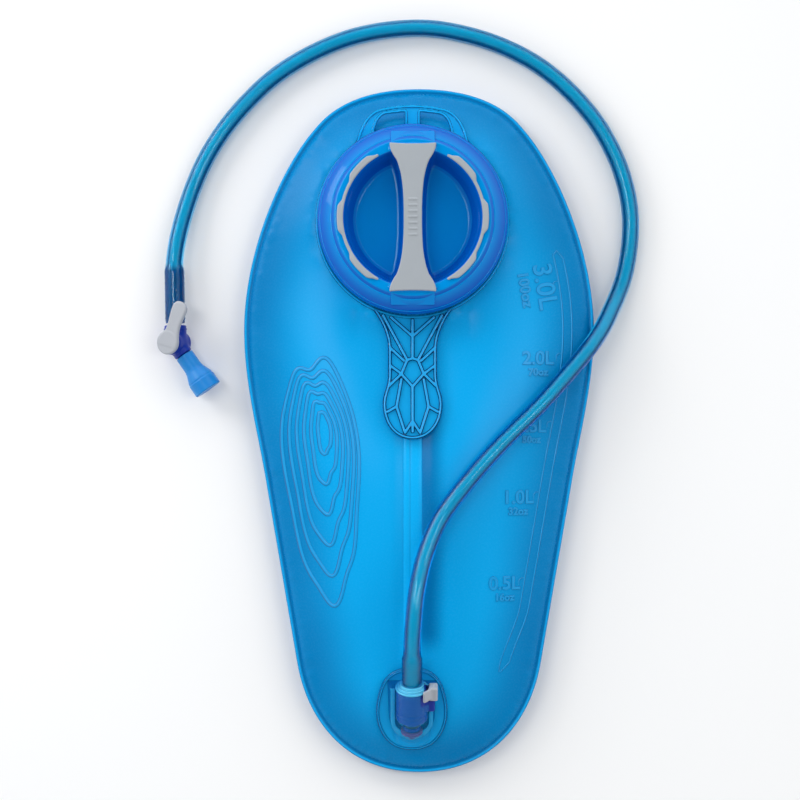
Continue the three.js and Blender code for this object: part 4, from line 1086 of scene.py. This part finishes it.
def rib_shape(p):
    """The truss of drafted ribs on the handle and the double edge round it."""
    x, y, z = on_handle(p)
    half = np.stack([np.abs(x), y], -1)
    ribs = np.min([bar(half, a, b, RIB_HALF_WIDTH - 0.1) for a, b in RIBS], axis=0)
    ribs = np.maximum(ribs, handle_distance(x, y) + 0.6)
    edge = np.abs(handle_distance(x, y) + 1.25) - 0.45
    draft = 0.6 * np.clip((RIB_TOP - z) / (RIB_TOP - PLATE), 0, 1)
    ribs = np.maximum(joined(ribs, edge, 0.5) - draft, FLANGE_R - 0.7 - np.hypot(x, y))
    return slab(ribs, z, PLATE - 0.15, RIB_TOP, 0.15)


def ring_shape(p):
    """The port's flange with its threaded collar and the hang loop, from the port's axis."""
    x, y = plan(p)
    z = p[..., 2]
    r = np.hypot(x, y)
    window = window_distance(np.abs(x), y)
    loop = cut_out(loop_distance(x, y), window, 0.5)
    plate = slab(joined(r - FLANGE_R, loop, 2.0), z, PORT_Z, PORT_Z + PLATE, 0.5)
    lip = slab(np.abs(r - FLANGE_R + 0.8) - 0.8, z, PORT_Z + 0.6, PORT_Z + FLANGE + 0.5, 0.35)
    edges = np.minimum(np.abs(loop_distance(x, y) + 0.9) - 0.75, np.abs(window - 0.8) - 0.65)
    edges = np.maximum(np.maximum(edges, loop + 0.2), FLANGE_R - 0.4 - r)
    beads = slab(edges, z, PORT_Z + 0.6, PORT_Z + 2.9, 0.25)
    wall = np.abs(r - (COLLAR_R + COLLAR_BORE) / 2) - (COLLAR_R - COLLAR_BORE) / 2
    collar = joined(slab(wall, z, PORT_Z, COLLAR_TOP, 0.6), thread(x, y, z, COLLAR_R, 46.9, 35.0), 0.3)
    body = joined(plate, joined(lip, beads, 0.2), 0.3)
    return np.maximum(joined(body, collar, 0.8), COLLAR_BORE - r)


def thread(x, y, z, root, crest, low, starts=3, sweep=1.7, rise=3.5):
    """Climbing ridges on a round wall, each fading out at its ends."""
    r = np.hypot(x, y)
    bearing = np.arctan2(y, x)
    ridges = []
    for i in range(starts):
        t = np.mod(bearing - 2 * math.pi * i / starts, 2 * math.pi) / sweep
        height = np.abs(z - (low + rise * np.minimum(t, 1))) - 0.9
        fade = np.clip(np.minimum(5 * t, 5 * (1 - t)), 0, 1)
        reach = np.abs(r - root) - np.abs(crest - root) * fade + 0.05
        ridges.append(np.maximum(height + 0.55 * np.abs(r - root) - 0.5, reach))
    return np.min(ridges, axis=0)


# ---- cap ------------------------------------------------------------------------------------

CAP_TOP = 51.2
CAP_R = 55.6
SKIRT_Z = 30.2
WELL_FLOOR = 34.0

CAP_RING = [
    (41, 45.6), (48.6, 45.6), (48.6, 33), (50.4, 33), (50.4, 44.6), (53.9, 41.4), (53.9, SKIRT_Z),
    (CAP_R, SKIRT_Z), *curved((CAP_R, 40.2), ((CAP_R, 42.6), (55.2, 43.9), (54.2, 44.8)), steps=8),
    (53.9, 44.75), (53.6, 45.25),
    *curved((53.2, 45.7), ((51.6, 47.2), (49.6, 48.6), (47.6, 49.5)), steps=12),
    (47.2, 49.45), (46.8, 49.95), (45.6, 50.9), (44.9, CAP_TOP), (41, CAP_TOP),
]  # fmt: skip

BOWL = [
    (0, WELL_FLOOR - 1.8), (33.6, WELL_FLOOR - 1.8), (36.9, WELL_FLOOR + 0.4), (38.8, 38.4), (41.4, 46.4),
    (43.5, 46.4), (43.5, CAP_TOP - 0.03), (40.4, CAP_TOP - 0.03), (39.6, 50.2), (39, 46), (37, 38.5),
    (35.2, 35.3), (33, WELL_FLOOR), (0, WELL_FLOOR),
]  # fmt: skip

BAR_SIDE = curved(
    (0, -42.3), ((5, -42.3), (10, -42.5), (13.0, -42.9)), ((13.6, -42.9), (13.5, -42.2), (13.2, -40.4)),
    ((12.4, -37.5), (11, -35.2), (9.5, -33.2)), ((7.6, -29), (6.1, -23), (5.6, -14)),
    ((5.3, -9), (5.25, -5), (5.25, 0)), ((5.25, 5), (5.3, 9), (5.6, 14)),
    ((6.1, 23), (7.6, 29), (9.5, 33.2)), ((11, 35.2), (12.4, 37.5), (13.2, 40.4)),
    ((13.5, 42.2), (13.6, 42.9), (13.0, 42.9)), ((10, 42.5), (5, 42.3), (0, 42.3)),
)  # fmt: skip
bar_distance = mapped(mirrored(BAR_SIDE))
bowl_distance = mapped(np.concatenate([BOWL, [(-8, WELL_FLOOR), (-8, WELL_FLOOR - 1.8)]]), margin=4)


def bowl_shape(p):
    """The cap's finger wells, the bar between them and the flat that runs off each end of the bar."""
    x, y = plan(p)
    z = p[..., 2]
    r = np.hypot(x, y)
    bowl = bowl_distance(r + 0 * z, z + 0 * r)
    draft = 2.4 * np.clip((CAP_TOP - z) / (CAP_TOP - WELL_FLOOR), 0, 1) ** 1.5
    core = np.maximum(slab(bar_distance(x, y) + 0.5 - draft, z, WELL_FLOOR - 1, CAP_TOP, 0.5), r - 42.5)
    beyond = np.abs(y) - 43.4
    ramp = np.maximum(np.abs(x) - 13.2 + 0.06 * beyond, np.maximum(-beyond - 2.5, beyond - 7.4))
    flat = np.maximum(ramp, np.maximum(z - CAP_TOP + 0.05 + 0.46 * beyond, CAP_TOP - 6 - z))
    return np.minimum(joined(bowl, core, 2.2), flat)


def bar_pad_shape(p):
    """The soft pad on the bar, gently crowned, with short ribs across its waist."""
    x, y = plan(p)
    z = p[..., 2] - 0.35 * (1 - (y / 43.6) ** 2)
    pad = slab(bar_distance(x, y), z, CAP_TOP - 0.2, CAP_TOP + 2.1, 0.55)
    for k in range(-3, 4):
        rib = bar(np.stack([x, y], -1), (-2.1, 3.4 * k), (2.1, 3.4 * k), 0.55)
        pad = joined(pad, slab(rib, z, CAP_TOP + 1, CAP_TOP + 2.5, 0.3), 0.35)
    return pad


LOBES = (math.radians(-43.5), math.radians(0.5), math.radians(43.5))  # bearings of the lobes
PAD_REACH = math.radians(61)  # bearing of the pad's ends


def side_pad_shape(p):
    """The soft pad on the +X side of the cap's rim, with three lobes."""
    x, y = plan(p)
    z = p[..., 2]
    r, bearing = np.hypot(x, y), np.arctan2(y, x)
    lobe = sum(1 - smoothstep(np.abs(bearing - a), math.radians(8.5), math.radians(15)) for a in LOBES)
    taper = smoothstep(np.abs(bearing), math.radians(56), math.radians(62))
    outer = 42.1 + 1.8 * lobe - 0.4 * taper
    band = np.maximum(r - outer, 40.3 - r)
    ends = (np.abs(bearing) - PAD_REACH) * r
    top = CAP_TOP + 1.3 + 0.5 * lobe
    across = -joined(-band, -ends, 1.0) + 0.6
    along = np.abs(z - (CAP_TOP - 0.5 + top) / 2) - (top - CAP_TOP + 0.5) / 2 + 0.6
    return bounded(across, along) - 0.6


# ---- outlet and plug ------------------------------------------------------------------------

flange_distance = mapped(outlet_loop(0))
TO_OUTLET = OUTLET_FRAME.inverted() @ PLUG_FRAME
HOUSING_R = 11.4
FLOW_R = 2.4  # the water's way through the plug and the valve
BUTTON_AXIS = (0, -1.5, 1)  # a point on the line the release button is pressed along
BUTTON_REACH = math.radians(55)  # how far round the plug the button's tab goes


def outlet_flange_shape(p):
    """The welded flange round the outlet, in the plug's frame."""
    q = moved(p, TO_OUTLET)
    height = q[..., 2]
    edge = flange_distance(q[..., 0], q[..., 1])
    flange = slab(edge, height, 0, 1.6, 0.5)
    bead = np.abs(edge + 1.2) - 0.35 - 0.25 * np.clip(1 - (height - 1.5) / 1.1, 0, 1)
    return joined(flange, slab(bead, height, 0.8, 2.6, 0.2), 0.2)


def outlet_foot_shape(p):
    """The foot that carries the outlet's housing above its flange, in the plug's frame."""
    x, y, z = p[..., 0], p[..., 1], p[..., 2]
    height = moved(p, TO_OUTLET)[..., 2]
    spread = 12.6 + 0.22 * np.maximum(0, -z)
    foot = np.maximum(np.hypot(x, np.maximum(0, -(y + 21)) * 0.95) - spread, y - 0.6)
    foot = np.maximum(np.maximum(foot, z - 0.5), 1.2 - height)
    return cut_out(foot, cylinder(p, 9.9, -29, 12, axis=1, rounding=7), 0.4)


def outlet_shape(p):
    """The outlet's clear housing, in the plug's frame."""
    x, y, z = p[..., 0], p[..., 1], p[..., 2]
    body = cylinder(p, HOUSING_R, -34.5, 1.0, axis=1, rounding=3.2)
    body = joined(body, cylinder(p, HOUSING_R, -12, 1.0, axis=1, rounding=0.5), 0.5)
    for at in (-0.5, -3.1):
        body = joined(body, np.hypot(np.hypot(x, z) - HOUSING_R, y - at) - 0.75, 0.5)
    bore = np.minimum(cylinder(p, 9.7, -20, 12, axis=1), cylinder(p, 5.5, -26, 12, axis=1))
    bore = np.minimum(bore, cylinder(p, 7.0, -33.2, -24.6, axis=1, rounding=1.0))
    bore = np.minimum(bore, np.maximum(np.hypot(x, y + 29) - 4.0, z))
    slot = cuboid(p, (6, -13.8, -3.6), (20, 6, 5.6), 0.8)
    slot = np.minimum(slot, cuboid(p, (5, -7.0, -3.6), (20, 6, 12), 0.8))
    return cut_out(body, np.minimum(bore, slot), 0.3)


def barb(r, along, pitch, first, ends):
    """A stem between two ends with saw-tooth ridges, one of them at first, that hold a hose on."""
    ridge = 3.6 + 0.7 * (1 - np.mod(along - first, pitch) / pitch)
    low, high = ends
    return np.maximum(r - ridge, np.abs(along - (low + high) / 2) - (high - low) / 2) * 0.9


def plug_shape(p):
    """The indigo plug with its lug, in the plug's frame."""
    x, y, z = p[..., 0], p[..., 1], p[..., 2]
    r = np.hypot(x, z)
    body = cylinder(p, 9.3, -19.7, 0.6, axis=1, rounding=0.7)
    nose = cylinder(p, 5.1, -27, -18, axis=1, rounding=0.5)
    nose = cut_out(nose, np.maximum(3.7 - r, np.abs(y + 23.7) - 0.9), 0.15)
    body = joined(body, nose, 0.4)
    for at in (-16.4, -13.4):
        body = cut_out(body, np.hypot(r - 9.5, y - at) - 0.55, 0.2)
    body = joined(body, cuboid(p, (4, -13.2, -3.2), (13.4, 1.6, 4.2), 1.3), 0.8)
    pocket = cuboid(p, (8.2, -5.6, -2.4), (16, 3.9, 8), 0.3)
    bore = np.minimum(r - FLOW_R, cylinder(p - BUTTON_AXIS, 1.9, 5, 9, axis=0))
    return cut_out(body, np.minimum(pocket, bore), 0.25)


def collar_shape(p):
    """The plug's stepped collar and its barb, in the plug's frame."""
    x, y, z = p[..., 0], p[..., 1], p[..., 2]
    r = np.hypot(x, z)
    body = cylinder(p, 9.9, 0.45, 1.8, axis=1, rounding=0.5)
    body = joined(body, cylinder(p, 8.6, 0.5, 3.0, axis=1, rounding=0.5), 0.25)
    body = joined(body, cylinder(p, 7.3, 0.5, 4.3, axis=1, rounding=0.6), 0.25)
    stem = barb(r, y, 5.1, 5, (0.6, 20.6))
    clear_of_button = cuboid(p, (7.2, -5.6, -2.4), (16, 4.6, 8.6), 0.3)
    return cut_out(joined(body, stem, 0.3), np.minimum(r - FLOW_R, clear_of_button), 0.25)


def button_shape(p):
    """The pale release button, with a tab that lies over the plug, in the plug's frame."""
    x, y, z = p[..., 0], p[..., 1], p[..., 2]
    block = cuboid(p, (9.9, -5.2, -2.0), (15, 3.4, 5.2), 1.0)
    r = np.hypot(x, z)
    tab = np.maximum(np.abs(r - 11.7) - 0.75, np.abs(y - 0.2) - 3.3)
    tab = np.maximum(tab, (np.arctan2(z, x) - BUTTON_REACH) * r)
    tab = np.maximum(tab, -z)
    body = joined(block, tab, 1.6)
    for k in range(3):
        body = cut_out(body, np.hypot(x - 15.5, y - 1.2 + 2.2 * k) - 0.75, 0.25)
    spring_seat = cylinder(p - BUTTON_AXIS, 2.0, 8, 11.6, axis=0)
    return cut_out(body, spring_seat, 0.1)


# ---- shut-off valve and mouthpiece ----------------------------------------------------------

VALVE_TO_SPOOL = SPOOL_FRAME.inverted() @ VALVE_FRAME
VALVE_TO_MOUTH = MOUTH_FRAME.inverted() @ VALVE_FRAME
BARREL_R = 7.2  # the lever's disc is as wide as the barrel


def valve_shape(p):
    """The indigo body of the shut-off valve, in the valve's frame."""
    y = p[..., 1]
    spool, mouth = moved(p, VALVE_TO_SPOOL), moved(p, VALVE_TO_MOUTH)
    r = np.hypot(p[..., 0], p[..., 2])
    barrel = cylinder(spool, BARREL_R, -6.4, 7.4, axis=2, rounding=0.7)
    inlet = cylinder(p, 6.6, 0, 10.6, axis=1, rounding=0.9)
    inlet = joined(inlet, np.hypot(r - 6.5, y - 8.2) - 0.5, 0.4)
    stub = cylinder(mouth, 5.6, 0, 8.5, axis=1, rounding=0.5)
    nose = cylinder(mouth, 4.2, 0, 18, axis=1, rounding=0.6)
    stem = barb(r, y, 8.0, 12, (12, 44))
    body = joined(joined(barrel, inlet, 1.4), joined(stub, nose, 0.5), 1.2)
    body = joined(body, stem, 0.4)
    flow = np.maximum(r - FLOW_R, 2 - y)
    outflow = np.maximum(np.hypot(mouth[..., 0], mouth[..., 2]) - FLOW_R, 2 - mouth[..., 1])
    spool_bore = cylinder(spool, 4.9, -5.0, 12, axis=2)
    return cut_out(body, np.minimum(spool_bore, np.minimum(flow, outflow)), 0.2)


LEVER_ANGLE = math.radians(68.4)
LEVER_LOW = 7.8
LEVER_OUTLINE = curved(
    (-2, -6.6), ((4, -6.9), (7, -4.7), (11, -4.6)), ((15, -4.6), (18, -5.5), (21.6, -5.6)),
    ((25.4, -5.4), (26.3, -1.5), (25.8, 1.2)), ((25.2, 3.6), (23, 4.3), (20.5, 4.4)),
    ((15, 4.3), (11, 3.6), (8, 3.9)), ((5.5, 4.2), (3.5, 6.2), (0, 6.8)), ((-2, 6), (-3, 6), (-3, 5)),
)  # fmt: skip
lever_distance = mapped(LEVER_OUTLINE)
LEVER_FRAME = SPOOL_FRAME @ Matrix.Rotation(LEVER_ANGLE, 4, "Z")


def lever_shape(p):
    """The pale lever: a disc over the spool with a flat arm, in the arm's frame."""
    x, y = plan(p)
    z = p[..., 2]
    disc = slab(np.hypot(x, y) - BARREL_R, z, LEVER_LOW, LEVER_LOW + 2.8, 1.1)
    arm = slab(lever_distance(x, y), z, LEVER_LOW + 0.1, LEVER_LOW + 2.9, 1.2)
    body = joined(disc, arm, 0.8)
    socket = slab(np.hypot(x, y) - 3.2, z, LEVER_LOW - 1, LEVER_LOW + 1.9)
    return cut_out(body, socket, 0.25)


MOUTH_START, MOUTH_END = 8.9, 34.4  # along the mouth's axis
MOUTH_OUTER = [(MOUTH_START, 5.5), (18.6, 5.6), (20.4, 6.0), (25.4, 8.0), (27.2, 8.4), (MOUTH_END, 8.5)]
MOUTH_BORE = [(MOUTH_START, 4.85), (18.6, 4.85), (26, 6.2), (32, 6.2)]


def mouthpiece_shape(p):
    """The soft mouthpiece with its slit, in the mouth's frame."""
    y = p[..., 1]
    r = np.hypot(p[..., 0], p[..., 2])
    outer = r - np.interp(y, *zip(*MOUTH_OUTER))
    bore = r - np.interp(y, *zip(*MOUTH_BORE))
    length = np.abs(y - (MOUTH_START + MOUTH_END) / 2) - (MOUTH_END - MOUTH_START) / 2
    body = common(outer, length, 0.9)
    body = cut_out(body, np.hypot(outer - 0.2, y - 26.6) - 0.4, 0.3)
    body = cut_out(body, np.maximum(bore, y - 32), 0.4)
    dish = np.hypot(r, y - MOUTH_END - 6.2) - 6.9
    body = cut_out(body, dish, 0.5)
    slit = cuboid(p, (-3.6, 28, -0.18), (3.6, 40, 0.18))
    return cut_out(body, slit, 0.15)


# ---- making the moulded pieces --------------------------------------------------------------

def port_and_cap():
    """The fill port's ring and carrying handle, and the cap with its three grip pads."""
    moulded("port_ring", ring_shape, (-60, -60, 26), (60, 71, 45.5), 0.5, "reservoir",
            CLEAR_MATERIAL, AT_PORT, slot="clear_moulding", replaces=("fill_port",))
    moulded("port_handle", handle_shape, (-40, -131, 26), (40, -38, 38.5), 0.4, "reservoir",
            CLEAR_MATERIAL, AT_PORT, slot="clear_moulding")
    moulded("port_handle_ribs", rib_shape, (-40, -131, 26), (40, -38, 38.5), 0.3, "reservoir",
            RIB_MATERIAL, AT_PORT, slot="clear_moulding")
    points, faces = lathe(rounded(CAP_RING, 0.45), 160)
    make_piece("cap_ring", moved(points, AT_PORT), faces, "cap", CAP_MATERIAL,
               slot="cap_blue", replaces=("cap_shell",))
    moulded("cap_bowl", bowl_shape, (-44, -52, 31), (44, 52, 52.5), 0.55, "cap",
            CAP_MATERIAL, AT_PORT, slot="cap_blue")
    moulded("cap_bar_pad", bar_pad_shape, (-15, -45, 50), (15, 45, 55), 0.4, "cap",
            GRIP_MATERIAL, AT_PORT, slot="grip_grey", replaces=("cap_bar_grip",))
    for side, turn in (("right", 0), ("left", math.pi)):
        moulded(f"cap_side_pad_{side}", side_pad_shape, (15, -41, 49.5), (46, 41, 54), 0.35, "cap",
                GRIP_MATERIAL, AT_PORT @ Matrix.Rotation(turn, 4, "Z"), slot="grip_grey",
                replaces=(f"cap_side_grip_{side}",))


def outlet_and_plug():
    """The outlet's flange, foot and see-through housing, and the plug with its button."""
    moulded("outlet_flange", outlet_flange_shape, (-26, -46, -22), (26, 24, 8), 0.42, "reservoir",
            CLEAR_MATERIAL, PLUG_FRAME, slot="clear_moulding")
    moulded("outlet_foot", outlet_foot_shape, (-26, -46, -22), (26, 2, 3), 0.42, "reservoir",
            FOOT_MATERIAL, PLUG_FRAME, slot="clear_moulding")
    moulded("outlet_housing", outlet_shape, (-25, -43, -22), (25, 16, 13.5), 0.42, "reservoir",
            HOUSING_MATERIAL, PLUG_FRAME, slot="clear_moulding", replaces=("outlet_port",))
    moulded("plug_moulding", plug_shape, (-11, -28, -11), (15, 4, 11), 0.35, "quick_link",
            INDIGO_MATERIAL, PLUG_FRAME, slot="indigo", replaces=("quick_link_body",))
    moulded("plug_collar", collar_shape, (-11, 0, -11), (11, 21.5, 11), 0.3, "quick_link",
            COLLAR_MATERIAL, PLUG_FRAME, slot="indigo")
    moulded("release_button_cap", button_shape, (4, -7, -4), (17, 5, 13), 0.25, "release_button",
            PALE_MATERIAL, PLUG_FRAME, slot="button_grey", replaces=("release_button",))


def valve_and_mouthpiece():
    """The pieces at the hose's far end, which it carries."""
    body = moulded("valve_moulding", valve_shape, (-14, -17, -9), (15, 45.5, 9.5), 0.38, "quick_link",
                   INDIGO_MATERIAL, VALVE_FRAME, slot="indigo", replaces=("shutoff_body",))
    lever = moulded("valve_lever", lever_shape, (-9, -8.5, 7), (27.5, 8.5, 11.8), 0.3, "shutoff",
                    PALE_MATERIAL, LEVER_FRAME, slot="button_grey", replaces=("shutoff_lever",))
    mouth = moulded("bite_mouthpiece", mouthpiece_shape, (-10, 8, -10), (10, 36, 10), 0.32, "mouthpiece",
                    SILICONE_MATERIAL, MOUTH_FRAME, slot="silicone_blue", replaces=("mouthpiece",))
    return [body, lever, mouth]


KEPT_NODES = {
    "cap_gasket": SILICONE_MATERIAL,
    "outlet_poppet": SEAL_MATERIAL,
    "poppet_seal": SEAL_MATERIAL,
    "poppet_spring": STEEL_MATERIAL,
    "button_spring": STEEL_MATERIAL,
    "quick_link_o_ring": RUBBER_MATERIAL,
    "shutoff_spool": PALE_MATERIAL,
    "spool_o_ring_lower": RUBBER_MATERIAL,
    "spool_o_ring_upper": RUBBER_MATERIAL,
}


def finish_kept_nodes():
    """Gives the frame's own inner parts their materials."""
    for name, material in KEPT_NODES.items():
        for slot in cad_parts[name].material_slots:
            slot.material = material


# ---- relief on the film ---------------------------------------------------------------------

def on_film(film, x, y):
    """The height of the front film under a point."""
    hit = film.ray_cast(Vector((x, y, 100)), Vector((0, 0, -1)))[0]
    return hit.z if hit else RIM_Z


def raised_line(film, path, half_width, height, is_closed=False):
    """A low rounded ridge along a flat path, lying on the film, as points and faces."""
    path = resampled(path, 1.6, is_closed)
    ahead = np.roll(path, -1, axis=0) if is_closed else np.vstack([path[1:], 2 * path[-1] - path[-2]])
    behind = np.roll(path, 1, axis=0) if is_closed else np.vstack([2 * path[0] - path[1], path[:-1]])
    along = ahead - behind
    along /= np.linalg.norm(along, axis=1)[:, None]
    across = np.column_stack([-along[:, 1], along[:, 0]])
    section = [(-1, -0.2), (-0.85, 0.35), (-0.45, 0.85), (0, 1), (0.45, 0.85), (0.85, 0.35), (1, -0.2)]
    points = []
    for i, (p, side) in enumerate(zip(path, across)):
        fade = 1 if is_closed else min(1, (i + 0.2) / 2, (len(path) - 1 - i + 0.2) / 2)
        for u, h in section:
            x, y = p + side * u * half_width * (0.4 + 0.6 * fade)
            points.append((x, y, on_film(film, x, y) + (h * height * fade if h > 0 else -0.2)))
    rows, columns = len(path), len(section)
    faces = strip_faces(rows, columns, closed_rows=is_closed)
    if not is_closed:
        faces += end_faces(rows, columns)
    return points, faces


def letters(film, text, at, size, turn=0.0):
    """Raised figures on the film, as points and faces."""
    curve = bpy.data.curves.new("figures", "FONT")
    curve.body, curve.size = text, size
    curve.align_x = curve.align_y = "CENTER"
    curve.extrude, curve.bevel_depth, curve.bevel_resolution = 0.26, 0.18, 2
    curve.offset = 0.12
    holder = bpy.data.objects.new("figures", curve)
    mesh = bpy.data.meshes.new_from_object(holder)
    shape = bmesh.new()
    shape.from_mesh(mesh)
    bmesh.ops.triangulate(shape, faces=shape.faces[:])
    for _ in range(3):
        long = [e for e in shape.edges if e.calc_length() > 2.2]
        bmesh.ops.subdivide_edges(shape, edges=long, cuts=1)
        bmesh.ops.triangulate(shape, faces=shape.faces[:])
    cos, sin = math.cos(turn), math.sin(turn)
    points = []
    for v in shape.verts:
        x, y = at[0] + cos * v.co.x - sin * v.co.y, at[1] + sin * v.co.x + cos * v.co.y
        points.append((x, y, on_film(film, x, y) + v.co.z + 0.05))
    faces = [tuple(v.index for v in f.verts) for f in shape.faces]
    shape.free()
    bpy.data.objects.remove(holder)
    return points, faces


MARKS = [  # volume, its other unit, the middle of the figures, their size and turn
    ("3.0L", "100oz", (74.5, 86), 14.0, -80),
    ("2.0L", "70oz", (70.5, 43), 9.6, 0),
    ("1.5L", "50oz", (66.5, 2.5), 9.0, 0),
    ("1.0L", "32oz", (58.5, -39.5), 9.6, 0),
    ("0.5L", "16oz", (50.5, -90.5), 9.6, 0),
]


def scale_edge(inside, heights):
    """Points a set distance inside the outline's +X side, drifting further in towards the bottom."""
    right = OUTLINE[OUTLINE[:, 0] > 0]
    right = right[np.argsort(right[:, 1])]
    x = np.interp(heights, right[:, 1], right[:, 0])
    return np.column_stack([x - inside - 6.5 * (1 - smoothstep(heights, -143, -104)), heights])


def volume_scale(film):
    """Figures and a long slot-shaped line up the side of the bag, with a tick at each level."""
    down, up = np.linspace(103, -138, 60), np.linspace(-140, 105, 60)
    tip, toe = scale_edge(16.4, np.array([107.5])), scale_edge(18, np.array([-144.0]))
    loop = np.concatenate([tip, scale_edge(13.6, down), toe, scale_edge(19.2, up)])
    parts = [raised_line(film, loop, 0.55, 0.32, is_closed=True)]
    for volume, other, at, size, turn in MARKS:
        angle = math.radians(turn)
        parts.append(letters(film, volume, at, size * 1.15, angle))
        below = Vector((math.sin(angle), -math.cos(angle))) * size * 0.86
        parts.append(letters(film, other, (at[0] + below.x, at[1] + below.y), size * 0.62, angle))
        level = at[1] + 3
        start = scale_edge(19.2, np.array([level]))[0]
        tick_path = [start, start + (-2.2, 0.4), start + (-3.6, -1.2), start + (-3.7, -4.2)]
        parts.append(raised_line(film, tick_path, 0.5, 0.32))
    points, faces = gathered(parts)
    make_piece("bag_volume_scale", points, faces, "reservoir", RELIEF_MATERIAL, slot="film", crease=50)


def contour_relief(film):
    """Nested closed lines like a hill's contours, up the other side of the bag."""
    parts = []
    bearing = np.linspace(0, 2 * math.pi, 160, endpoint=False)
    for k in range(6):
        size = 1 - 0.165 * k
        wobble = 1 + 0.1 * np.sin(2 * bearing + 0.9) + 0.07 * np.sin(3 * bearing + 0.35 * k)
        wobble += 0.03 * np.sin(7 * bearing)
        y = -26 + 76 * size * wobble * np.sin(bearing) + 5 * k
        x = -61.5 + 20.5 * size * wobble * np.cos(bearing) - 0.105 * (y - 10) + 0.8 * k
        parts.append(raised_line(film, np.column_stack([x, y]), 1.25, 0.5, is_closed=True))
    points, faces = gathered(parts)
    make_piece("bag_contour_relief", points, faces, "reservoir", RELIEF_MATERIAL, slot="film", crease=50)


def baffle(film, back):
    """The strip between the films, welded to both along its length."""
    parts = []
    rows = np.linspace(BAFFLE_Y[0], BAFFLE_Y[1], 50)
    layers = (
        (BAFFLE_HALF_WIDTH, lambda a, b: a - FILM - 0.1, lambda a, b: a - FILM - 0.5),
        (0.4, lambda a, b: a - FILM - 0.4, lambda a, b: b + 0.4),
        (BAFFLE_HALF_WIDTH, lambda a, b: b + 0.5, lambda a, b: b + 0.1),
    )
    for half, top_of, bottom_of in layers:
        across = np.linspace(-half, half, 9)
        points = []
        for y in rows:
            above = [on_film(film, PORT[0] + u, y) for u in across]
            below = [on_film(back, PORT[0] + u, y) for u in across]
            points += [(PORT[0] + u, y, top_of(a, b)) for u, a, b in zip(across, above, below)]
            under = [(PORT[0] + u, y, bottom_of(a, b)) for u, a, b in zip(across, above, below)]
            points += under[::-1]
        lattice = (len(rows), 2 * len(across))
        parts.append((points, strip_faces(*lattice) + end_faces(*lattice)))
    points, faces = gathered(parts)
    make_piece("bag_baffle", points, faces, "reservoir", BACK_MATERIAL, replaces=("centre_baffle",),
               slot="baffle_film")


# ---- the scene ------------------------------------------------------------------------------

set_the_stage()
HOSE, HOSE_PATH = hose()
FILM_TOP = front_film()
BACK_TOP = back_film()
volume_scale(FILM_TOP)
contour_relief(FILM_TOP)
baffle(FILM_TOP, BACK_TOP)
port_and_cap()
outlet_and_plug()
ON_HOSE = valve_and_mouthpiece()
finish_kept_nodes()
